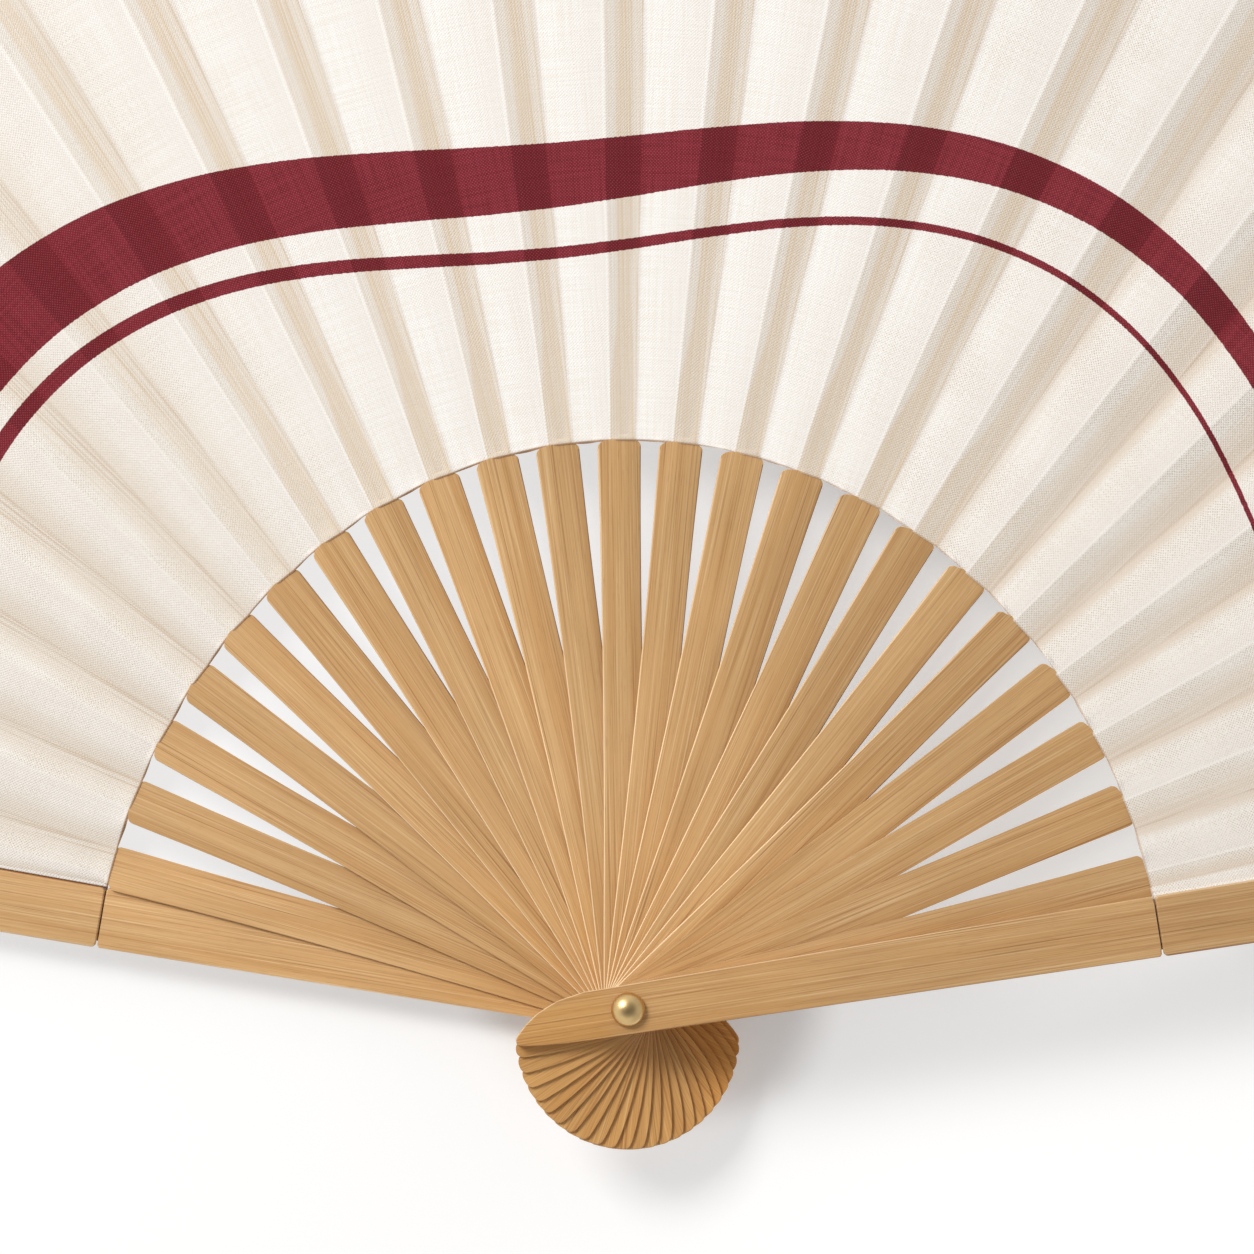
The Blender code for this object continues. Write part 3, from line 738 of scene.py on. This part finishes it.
def slat_half_width(radius):
    return between(GUARD_SEAM_HALF_WIDTH, SLAT_TIP_HALF_WIDTH, length_share(radius))


def panel_end(index, side, radius):
    """A bright panel's start (-1) or end (1) at a stick: its turn, its height and the slope beyond."""
    if index in (0, LAST):
        lateral = side * (slat_half_width(radius) + LIP_GAP + LIP_STEP)
        return math.asin(lateral / radius), lip_level(index), 0.0
    lateral = fold_offset(index, side, radius)
    slope = pleat_slope(index)
    return math.asin(lateral / radius), cloth_level(index) + slope * lateral, slope


def edge_wave(left, radius, inner, share):
    """How far the cloth's lower edge hangs out of line between two ribs."""
    if left == 0 or left == LAST - 1:
        return 0.0
    step, start, row = EDGE_WAVE_SEED
    swing = noise.noise(Vector((step * left, start, row + share))) * math.sin(math.pi * share)
    return EDGE_WAVE * swing * (1 - smooth(radius - inner, 0.0, EDGE_WAVE_LENGTH))


def edge_curl(radius, inner, share):
    """How far the cloth's lower edge turns down between two ribs."""
    gap = max(0.0, 1 - (radius - inner) / EDGE_CURL_LENGTH)
    return EDGE_CURL * gap * gap * math.sin(math.pi * share) ** 0.5


def shoulder_extra(index, lateral):
    """How far a rib's shoulder reaches past its solid's: less on its left, above the cloth."""
    tail_shade = between(*SHOULDER_EXTRA, smooth(abs(stack_place(index)), *SHOULDER_EXTRA_REACH))
    return between(tail_shade, SHOULDER_PEEK, smooth(lateral, *PEEK_REACH))


def shoulder_lift(index, radius, inner, lateral, height):
    """How far the cloth's lower edge rises to lie over a rib's shoulder."""
    flat = slip_level(index) - SLIP_THICKNESS + RIB_THICKNESS + GLUE_LINE
    top = flat + lean(index) * min(lateral, 0.0)
    extra = shoulder_extra(index, lateral)
    near = 1 - smooth(radius - inner - extra, *SHOULDER_LIFT_REACH)
    across = 1 - smooth(abs(lateral), *(share * SHOULDER_HALF_WIDTH for share in SHOULDER_SIDES))
    return max(0.0, top - height) * near * across


def leaf_row(left, share):
    """The points across one pleat at a share of the way from the leaf's lower edge to its rim.

    Each is (point, angle, radius, panel, place in the panel, distance from the lower edge, slackness).
    The panel is 0 over the left stick, 1 for the bright one and 2 over the right stick. The place runs
    from 0 at the ridge to 1 at the valley over a stick, and from 0 at the valley to 1 at the ridge in
    the bright panel.
    """
    right = left + 1
    inner = (leaf_inner(left), leaf_inner(right))
    radius_left = between(inner[0], LEAF_RIM, share)
    radius_right = between(inner[1], LEAF_RIM, share)
    first = STICK_TURNS[left]
    second = STICK_TURNS[right]
    start_turn, start_height, slope_before = panel_end(left, -1, radius_left)
    end_turn, end_height, slope_after = panel_end(right, 1, radius_right)
    start_angle = first + start_turn
    end_angle = second + end_turn
    width = (start_angle - end_angle) * (radius_left + radius_right) / 2
    slope = (end_height - start_height) / width
    belly = BELLY_SHARE + SOFT_BELLY_SHARE * softness(right)
    valley_bend = slope * (1 + belly) + slope_before
    ridge_bend = -(slope * (1 - belly) + slope_after)
    valley = min(VALLEY_ROUNDING + SOFT_VALLEY_ROUNDING * softness(left), VALLEY_SHARE * width)
    ridge = min(RIDGE_ROUNDING, RIDGE_SHARE * width)
    row = []

    def put(angle, radius, height, panel, place):
        step = min(max((first - angle) / (first - second), 0.0), 1.0)
        lower = between(*inner, min(max(place, 0.0), 1.0) if panel == 1 else panel / 2)
        slack = between(softness(left), softness(right), step)
        for stick, middle in ((left, first), (right, second)):
            if 0 < stick < LAST:
                height += shoulder_lift(stick, radius, lower, radius * (angle - middle), height)
        point = Vector((radius * math.cos(angle), radius * math.sin(angle), height))
        row.append((point, angle, radius, panel, place, radius - lower, slack))

    if left > 0:
        crest = fold_offset(left, 1, radius_left)
        span = crest - start_turn * radius_left
        for step in DARK_SHARES:
            lateral = start_turn * step * radius_left
            gap = (1 - step) * abs(start_turn) * radius_left
            height = cloth_level(left) + slope_before * lateral + rounding(gap, valley, valley_bend)
            put(first + start_turn * step, radius_left, height, 0, (crest - lateral) / span)
    else:
        put(start_angle, radius_left, start_height, 1, 0.0)
    for step in BRIGHT_SHARES:
        lower = between(*inner, step)
        radius = between(radius_left, radius_right, step)
        radius += edge_wave(left, radius, lower, step)
        height = between(start_height, end_height, step + belly * step * (1 - step))
        height -= edge_curl(radius, lower, step)
        if left > 0:
            height += rounding(step * width, valley, valley_bend)
        if right < LAST:
            height += rounding((1 - step) * width, ridge, ridge_bend)
        put(between(start_angle, end_angle, step), radius, height, 1, step)
    if right < LAST:
        span = end_turn * radius_right - fold_offset(right, -1, radius_right)
        for step in reversed(DARK_SHARES):
            lateral = end_turn * step * radius_right
            gap = (1 - step) * end_turn * radius_right
            height = cloth_level(right) + slope_after * lateral + rounding(gap, ridge, ridge_bend)
            place = (end_turn * radius_right - lateral) / span
            put(second + end_turn * step, radius_right, height, 2, place)
    else:
        put(end_angle, radius_right, end_height, 1, 1.0)
    return row


def leaf_shares():
    """The rows' places from the leaf's lower edge to its rim, close together at the hem."""
    edge = [place / LEAF_LENGTH for place in EDGE_ROWS]
    rows = [edge[-1] + (HEM_START - edge[-1]) * step / LEAF_ROWS for step in range(1, LEAF_ROWS + 1)]
    return edge + rows + [HEM_START + HEM_STEP, (HEM_START + 1) / 2, *LAST_ROWS]


def cloth_half(share):
    """Half the cloth's thickness, which is more at the hem."""
    return (HEM_THICKNESS if share > HEM_START + HEM_STEP / 2 else CLOTH_THICKNESS) / 2


def finish_mesh(name, work):
    mesh = bpy.data.meshes.new(name)
    work.to_mesh(mesh)
    work.free()
    return mesh


def solid_from_rows(name, rows, halves):
    """A thin closed solid about a grid of points. Returns the mesh and each vertex's grid place."""
    points = np.array(rows, float)
    down = np.gradient(points, axis=0)
    across = np.gradient(points, axis=1)
    normals = np.cross(across, down)
    normals /= np.linalg.norm(normals, axis=2, keepdims=True)
    normals *= np.sign(normals[..., 2:3])
    half = np.array(halves)[:, None, None]
    high, wide = points.shape[:2]
    layers = (points + normals * half, points - normals * half)
    work = bmesh.new()
    grids = [[[work.verts.new(point) for point in line] for line in layer] for layer in layers]
    top, bottom = grids
    for i in range(high - 1):
        for j in range(wide - 1):
            work.faces.new((top[i][j], top[i][j + 1], top[i + 1][j + 1], top[i + 1][j]))
            work.faces.new((bottom[i][j], bottom[i + 1][j], bottom[i + 1][j + 1], bottom[i][j + 1]))
    ring = [(i, 0) for i in range(high)] + [(high - 1, j) for j in range(1, wide)]
    ring += [(i, wide - 1) for i in range(high - 2, -1, -1)] + [(0, j) for j in range(wide - 2, 0, -1)]
    for (i, j), (k, m) in zip(ring, ring[1:] + ring[:1]):
        work.faces.new((top[i][j], top[k][m], bottom[k][m], bottom[i][j]))
    bmesh.ops.recalc_face_normals(work, faces=work.faces)
    mesh = finish_mesh(name, work)
    places = [(i, j) for _ in grids for i in range(high) for j in range(wide)]
    return mesh, places


def flat_area(rows):
    """The area of a grid of points, its greatest width across the folds and its greatest length."""
    points = np.array(rows, float)
    one = points[1:, 1:] - points[:-1, :-1]
    two = points[1:, :-1] - points[:-1, 1:]
    area = float(np.linalg.norm(np.cross(one, two), axis=2).sum() / 2)
    widths = np.linalg.norm(np.diff(points, axis=1), axis=2).sum(axis=1)
    lengths = np.linalg.norm(np.diff(points, axis=0), axis=2).sum(axis=0)
    return area, float(widths.max()), float(lengths.max())


def add_piece(name, mesh, material, sharp_degrees=SHEET_SHARP_DEG):
    piece = bpy.data.objects.new(name, mesh)
    mesh.materials.clear()
    mesh.materials.append(material)
    mesh.shade_smooth()
    mesh.set_sharp_from_angle(angle=math.radians(sharp_degrees))
    scene.collection.objects.link(piece)
    return piece


def lay_threads(mesh, places, details, left):
    """Four UV maps: metres across and along a panel's threads, angle and radius, place in a panel and
    whether it is the bright one, and distance from the lower edge and slackness."""
    names = ("threads", "print", "panel", "edge")
    threads, printed, panels, edges = (mesh.uv_layers.new(name=name) for name in names)
    first = STICK_TURNS[left]
    second = STICK_TURNS[left + 1]
    middles = (first, (first + second) / 2, second)
    shifts = (0.0, THREAD_SHIFT[0] + THREAD_SHIFT[1] * left, 0.0)
    for face in mesh.polygons:
        corners = [places[mesh.loops[loop].vertex_index] for loop in face.loop_indices]
        kinds = [details[i][j][2] for i, j in corners]
        panel = 1 if 1 in kinds else kinds[0]
        for loop, (i, j) in zip(face.loop_indices, corners):
            angle, radius, kind, place, rise, slack = details[i][j]
            turn = angle - middles[panel]
            if kind != panel:
                place = kind / 2
            threads.data[loop].uv = (radius * math.sin(turn) + shifts[panel], radius * math.cos(turn))
            printed.data[loop].uv = (angle - math.pi / 2, radius)
            panels.data[loop].uv = (place, 1.0 if panel == 1 else 0.0)
            edges.data[loop].uv = (rise, slack)


def blend_lines(left):
    """Where the cloth starts and ends its turn from one stick's body to the next one's."""
    right = left + 1
    level = Vector((0.0, 0.0, slip_level(max(left, 1))))
    if left == 0 or right == LAST:
        guard, rib, side = (0, 1, -1) if left == 0 else (LAST, LAST - 1, 1)
        near = stick_point(rib, leaf_inner(rib), 0, 0)
        far = stick_point(rib, LEAF_RIM, fold_offset(rib, -side, LEAF_RIM), 0)
        lip = stick_point(guard, LEAF_RIM, side * (SLAT_TIP_HALF_WIDTH + LIP_GAP + LIP_STEP), 0)
        run = (far - near).normalized()
        square = Vector((-run.y, run.x, 0.0))
        edge = near + square * (lip - near).dot(square)
        return (edge + level, near + level) if left == 0 else (near + level, edge + level)
    middle = (STICK_TURNS[left] + STICK_TURNS[right]) / 2
    half_turn = (STICK_TURNS[left] - STICK_TURNS[right]) / 2
    reach = BLEND_REACH * LEAF_INNER_GUARD * math.sin(half_turn)
    out = Vector((math.cos(middle), math.sin(middle), 0.0)) * LEAF_INNER_GUARD
    square = Vector((-math.sin(middle), math.cos(middle), 0.0)) * reach
    return out + square + level, out - square + level


def make_sheet(name, grid, shares, left, material):
    """A piece of the leaf from its grid of points and details, with its area, width and length."""
    rows = [[point for point, *_ in line] for line in grid]
    details = [[detail for _, *detail in line] for line in grid]
    mesh, places = solid_from_rows(name, rows, [cloth_half(share) for share in shares])
    lay_threads(mesh, places, details, left)
    return add_piece(name, mesh, material), *flat_area(rows)


def make_leaf(material):
    """The leaf's twenty-four pleats, each from the middle of one stick to the middle of the next."""
    shares = leaf_shares()
    for left in range(LAST):
        grid = [leaf_row(left, share) for share in shares]
        name = f"leaf_pleat_cloth_{left + 1:02d}"
        pleat, area, width, length = make_sheet(name, grid, shares, left, material)
        start, end = blend_lines(left)
        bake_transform(pleat)
        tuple(start)
        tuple(end)
        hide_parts(f"leaf_pleat_{left + 1:02d}")


def make_leaf_end(index, material):
    """The leaf's end in a guard's slot, and the lip where it comes out past the slat."""
    side = 1 if index == LAST else -1
    grid = []
    shares = leaf_shares()
    inner = leaf_inner(index)
    slot = slot_level(index)
    lip = lip_level(index)
    for share in shares:
        radius = between(inner, LEAF_RIM, share)
        half = slat_half_width(radius)
        places = [(-SLOT_STRIP_START, slot)] + [(half * part, slot) for part in SLOT_SHARES]
        places += [(half + LIP_SIDE_GAP + step, between(slot, lip, part)) for step, part in LIP_BEND]
        places.append((half + LIP_GAP + LIP_STEP, lip))
        line = []
        for lateral, height in places:
            point = stick_point(index, radius, side * lateral, height)
            line.append((point, math.atan2(point.y, point.x), radius, 1, 0.5, radius - inner, 0.0))
        grid.append(line[::-1] if side == 1 else line)
    name = "leaf_end_cloth_back" if index == 0 else "leaf_end_cloth_front"
    strip, area, width, length = make_sheet(name, grid, shares, 0 if index == 0 else LAST - 1, material)
    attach(strip, body_name(index))


def stick_edge(name, edge):
    """How much an edge of a stick is rounded: less on the slips and tongues, none at the bore."""
    near, far = sorted(vert.co.xy.length for vert in edge.verts)
    if far < BORE_REACH:
        return 0.0
    if "slat" in name:
        return SLAT_EDGE
    if far > LEAF_INNER_GUARD + SHOULDER_EXTRA[0] / 2 and near > BARE_REACH:
        return SLIP_EDGE
    if "guard" in name:
        return GUARD_EDGE
    return STICK_EDGE if max(face.normal.z for face in edge.link_faces) > FRONT_TILT else STICK_REAR_EDGE


def is_upright(edge):
    return all(abs(face.normal.z) < UPRIGHT_TILT for face in edge.link_faces)


def ease_outline(work):
    """Turn the corners of a stick's drawn outline into short arcs."""
    least, most = map(math.radians, OUTLINE_CORNERS_DEG)
    corners = []
    for edge in work.edges:
        if len(edge.link_faces) == 2 and is_upright(edge) and least < edge.calc_face_angle() < most:
            if min(vert.co.xy.length for vert in edge.verts) > BORE_REACH:
                corners.append(edge)
    bmesh.ops.bevel(work, geom=corners, offset=OUTLINE_EASE_PERCENT, offset_type="PERCENT",
                    segments=CORNER_STEPS, profile=ROUND, affect="EDGES", clamp_overlap=True)


def dress_stick(name, index, number, material):
    """The stick's solid with rounded edges, and two maps for its grain."""
    work = bmesh.new()
    work.from_mesh(frame["nodes"][name].data)
    bmesh.ops.remove_doubles(work, verts=work.verts, dist=MERGE_REACH)
    flat = math.radians(FLAT_DEG)
    bmesh.ops.dissolve_limit(work, angle_limit=flat, verts=work.verts, edges=work.edges)
    if name.startswith("rib"):
        course = stick_point(index, 1.0, 0.0, 0.0)
        end = leaf_inner(index) + SHOULDER_COVER
        stretch = [end - step for step in SHOULDER_STRETCH]
        for vert in work.verts:
            if vert.co.xy.length < end + SHOULDER_EXTRA[0]:
                extra = shoulder_extra(index, course.cross(vert.co).z)
                vert.co += course * extra * smooth(vert.co.xy.length, *stretch)
    if "slat" in name:
        corners = [edge for edge in work.edges
                   if edge.calc_face_angle(0.0) > math.radians(SEAM_CORNER_DEG) and is_upright(edge)
                   and SEAM_REACH[0] < edge.verts[0].co.xy.length < SEAM_REACH[1]]
        bmesh.ops.bevel(work, geom=corners, offset=SLAT_CORNER, segments=CORNER_STEPS, profile=ROUND,
                        affect="EDGES")
    else:
        ease_outline(work)
    rounded = {}
    for edge in work.edges:
        if len(edge.link_faces) == 2 and edge.calc_face_angle() > math.radians(SHARP_EDGE_DEG):
            rounded.setdefault(stick_edge(name, edge), []).append(edge)
    for width in sorted(rounded, reverse=True):
        if width > 0:
            edges = [edge for edge in rounded[width] if edge.is_valid]
            bmesh.ops.bevel(work, geom=edges, offset=width, segments=EDGE_STEPS, profile=ROUND,
                            affect="EDGES", clamp_overlap=True)
    mesh = finish_mesh(name, work)
    grain = mesh.uv_layers.new(name="grain")
    stick = mesh.uv_layers.new(name="stick")
    turn = Matrix.Rotation(-STICK_TURNS[index], 3, "Z")
    place = stack_place(index)
    chance = noise.noise(Vector((TONE_SEED[0], TONE_SEED[1] * number, TONE_SEED[2])))
    tone = TONE_CURVE[0] - TONE_CURVE[1] * place - TONE_CURVE[2] * place**2 + TONE_RANGE * chance
    tone = STICK_TONES.get(name, tone)
    for loop in mesh.loops:
        place = turn @ mesh.vertices[loop.vertex_index].co
        grain.data[loop.index].uv = (place.x, place.y)
        stick.data[loop.index].uv = (STICK_TURNS[index], tone)
    piece = add_piece(f"{name}_wood", mesh, material, STICK_SHARP_DEG)
    even = piece.modifiers.new("even_faces", "WEIGHTED_NORMAL")
    even.keep_sharp = True
    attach(piece, body_name(index))
    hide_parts(name)
    "slat_wood" if "slat" in name else "guard_wood" if "guard" in name else "rib_wood"


def finish_sticks():
    """Every stick and slat in bamboo."""
    material = wood()
    sticks = {body_name(index): index for index in range(LAST + 1)}
    slats = {"back_guard_slat": 0, "front_guard_slat": LAST}
    for number, (name, index) in enumerate({**sticks, **slats}.items()):
        dress_stick(name, index, number, material)


def turned(name, profile, closed, material):
    """Turn a profile of (radius, height) about the rivet's axis."""
    work = bmesh.new()
    rail = [work.verts.new((radius, 0.0, height)) for radius, height in profile]
    edges = [work.edges.new(pair) for pair in zip(rail, rail[1:])]
    if closed:
        edges.append(work.edges.new((rail[-1], rail[0])))
    bmesh.ops.spin(work, geom=rail + edges, cent=(0, 0, 0), axis=(0, 0, 1), angle=2 * math.pi,
                   steps=TURNED_SIDES, use_merge=True)
    bmesh.ops.remove_doubles(work, verts=work.verts, dist=TURNED_MERGE)
    bmesh.ops.recalc_face_normals(work, faces=work.faces)
    mesh = finish_mesh(name, work)
    return add_piece(name, mesh, material)


def quarter_turn(steps):
    """The sines and cosines of a quarter turn, in even steps."""
    turns = [math.pi / 2 * step / steps for step in range(steps + 1)]
    return [(math.sin(turn), math.cos(turn)) for turn in turns]


def make_rivet():
    """The rivet's domed head, its shank and its rear head, and the washer under the sticks."""
    dome = HEAD_HEIGHT - HEAD_RIM
    rear = REAR_HEAD_RADIUS - REAR_HEAD_FLAT_RADIUS
    profile = [(HEAD_RADIUS * sine, FRONT_HEAD_SEAT + HEAD_RIM + dome * cosine)
               for sine, cosine in quarter_turn(DOME_STEPS)]
    profile += [(HEAD_RADIUS - HEAD_RIM * (1 - cosine), FRONT_HEAD_SEAT + HEAD_RIM * (1 - sine))
                for sine, cosine in quarter_turn(HEAD_RIM_STEPS)[1:]]
    profile += [(PIN_RADIUS, FRONT_HEAD_SEAT), (PIN_RADIUS, REAR_HEAD_HEIGHT)]
    profile += [(REAR_HEAD_FLAT_RADIUS + rear * cosine, REAR_HEAD_HEIGHT * (1 - sine))
                for sine, cosine in quarter_turn(REAR_HEAD_STEPS)]
    profile.append((0.0, 0.0))
    pin = turned("rivet_brass", profile, False, brass("satin_brass", *PIN_FINISH))
    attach(pin, "back_guard")
    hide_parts("rivet_pin")

    low = REAR_HEAD_HEIGHT + STICK_CLEARANCE
    high = low + WASHER_THICKNESS
    profile = [(WASHER_BORE, high)]
    for level, sign in ((high, -1), (low, 1)):
        corner = [(WASHER_RADIUS - WASHER_EDGE * (1 - sine), level + sign * WASHER_EDGE * (1 - cosine))
                  for sine, cosine in quarter_turn(WASHER_STEPS)]
        profile += corner if sign == -1 else corner[::-1]
    profile.append((WASHER_BORE, low))
    washer = turned("rivet_washer_brass", profile, True, brass("washer_brass", *WASHER_FINISH))
    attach(washer, "back_guard")
    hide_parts("rivet_washer")


def make_camera():
    """Straight above the fan, far enough away that its depth doesn't spread it."""
    middle = PHOTO_SIDE / 2
    x = (middle - RIVET_PIXEL[0]) * PIXEL_WIDTH
    y = (RIVET_PIXEL[1] - middle) * PIXEL_WIDTH
    level = (BACK_GUARD_FLOOR + FRONT_GUARD_FLOOR) / 2
    data = bpy.data.cameras.new("camera")
    data.sensor_width = SENSOR_WIDTH
    data.lens = SENSOR_WIDTH * CAMERA_HEIGHT / (PHOTO_SIDE * PIXEL_WIDTH)
    data.clip_end = CAMERA_CLIP
    camera = bpy.data.objects.new("camera", data)
    camera.location = (x, y, CAMERA_HEIGHT + level)
    scene.collection.objects.link(camera)
    scene.camera = camera


def make_floor():
    """A pale floor. It glows a little, less close to the tails, which sets how dark the shadows are."""
    work = bmesh.new()
    bmesh.ops.create_grid(work, x_segments=1, y_segments=1, size=FLOOR_SIDE / 2)
    mesh = finish_mesh("floor", work)
    look = Look(bpy.data.materials.new("floor_white"))
    paths = look.add("ShaderNodeLightPath", {}).node.outputs
    seen = look.greatest(paths["Is Camera Ray"], paths["Is Glossy Ray"], paths["Is Transmission Ray"])
    where = look.add("ShaderNodeTexCoord", {}, output="Object")
    places = look.parts(where)
    away = look.add("ShaderNodeVectorMath", {0: where}, output=1, operation="LENGTH")
    behind = look.product(look.ramp(places[1], *FLOOR_GLOW_REACH), look.ramp(away, *FAN_REACH))
    tails = {0: where, 1: TAILS_MIDDLE}
    tails = look.add("ShaderNodeVectorMath", tails, output=1, operation="DISTANCE")
    glow = look.ramp(behind, 0.0, 1.0, look.ramp(places[0], *FLOOR_GLOW_SPAN, *FLOOR_GLOW_FRONT),
                     look.ramp(places[0], *FLOOR_GLOW_SPAN, *FLOOR_GLOW_BEHIND), smooth=False)
    glow = look.ramp(tails, *TAILS_REACH, look.ramp(places[1], *TAILS_LOW, *FLOOR_GLOW_TAILS), glow)
    total = look.ramp(places[0], *FLOOR_GLOW_SPAN, *FLOOR_TOTAL)
    total = look.ramp(tails, *TAILS_REACH, FLOOR_SHADE + FLOOR_GLOW_TAILS[0], total)
    shade = look.math("SUBTRACT", total, glow)
    glow = look.product(glow, seen)
    shade = look.math("ADD", look.product(shade, seen), look.product(FLOOR_SHADE, look.rest(seen)))
    material = look.finish(look.grey(shade), 1.0, Specular_IOR_Level=0.0)
    look.fill(look.shader.inputs["Emission Color"], (1.0, 1.0, 1.0))
    look.fill(look.shader.inputs["Emission Strength"], glow)
    floor = add_piece("floor", mesh, material)
    floor.location.z = -FLOOR_DROP


def make_light():
    """A soft box up to the left of the fan, and an even pale room."""
    elevation = math.radians(KEY_ELEVATION_DEG)
    azimuth = math.radians(KEY_AZIMUTH_DEG)
    level = math.cos(elevation)
    towards = Vector((math.cos(azimuth) * level, math.sin(azimuth) * level, math.sin(elevation)))
    data = bpy.data.lights.new("soft_box", "AREA")
    data.shape = "SQUARE"
    data.size = KEY_SIDE
    data.energy = KEY_POWER
    data.color = KEY_COLOUR
    key = bpy.data.objects.new("soft_box", data)
    key.location = Vector(KEY_AIM) + towards * KEY_DISTANCE
    key.rotation_euler = towards.to_track_quat("Z", "Y").to_euler()
    scene.collection.objects.link(key)

    look = Look(bpy.data.worlds.new("pale_room"))
    scene.world = look.owner
    across, _, height = look.parts(look.add("ShaderNodeTexCoord", {}, output="Generated"))
    level = look.ramp(height, *ZENITH_REACH, SKY_LEVEL, SKY_ZENITH)
    paths = look.add("ShaderNodeLightPath", {}).node.outputs
    seen = look.greatest(paths["Is Camera Ray"], paths["Is Transmission Ray"])
    mirrored = look.product(paths["Is Glossy Ray"], look.ramp(height, *ZENITH_REACH, 1.0, SKY_ZENITH),
                            look.ramp(across, *FAR_SIDE_REACH, 1.0, ROOM_FAR_SIDE))
    background = look.tree.nodes["Background"].inputs
    look.fill(background["Color"], (1.0, 1.0, 1.0))
    look.fill(background["Strength"], look.greatest(level, mirrored, seen))


scene.view_settings.view_transform = "Standard"
make_camera()
make_floor()
make_light()
leaf_material = cloth()
make_leaf(leaf_material)
make_leaf_end(0, leaf_material)
make_leaf_end(LAST, leaf_material)
finish_sticks()
make_rivet()
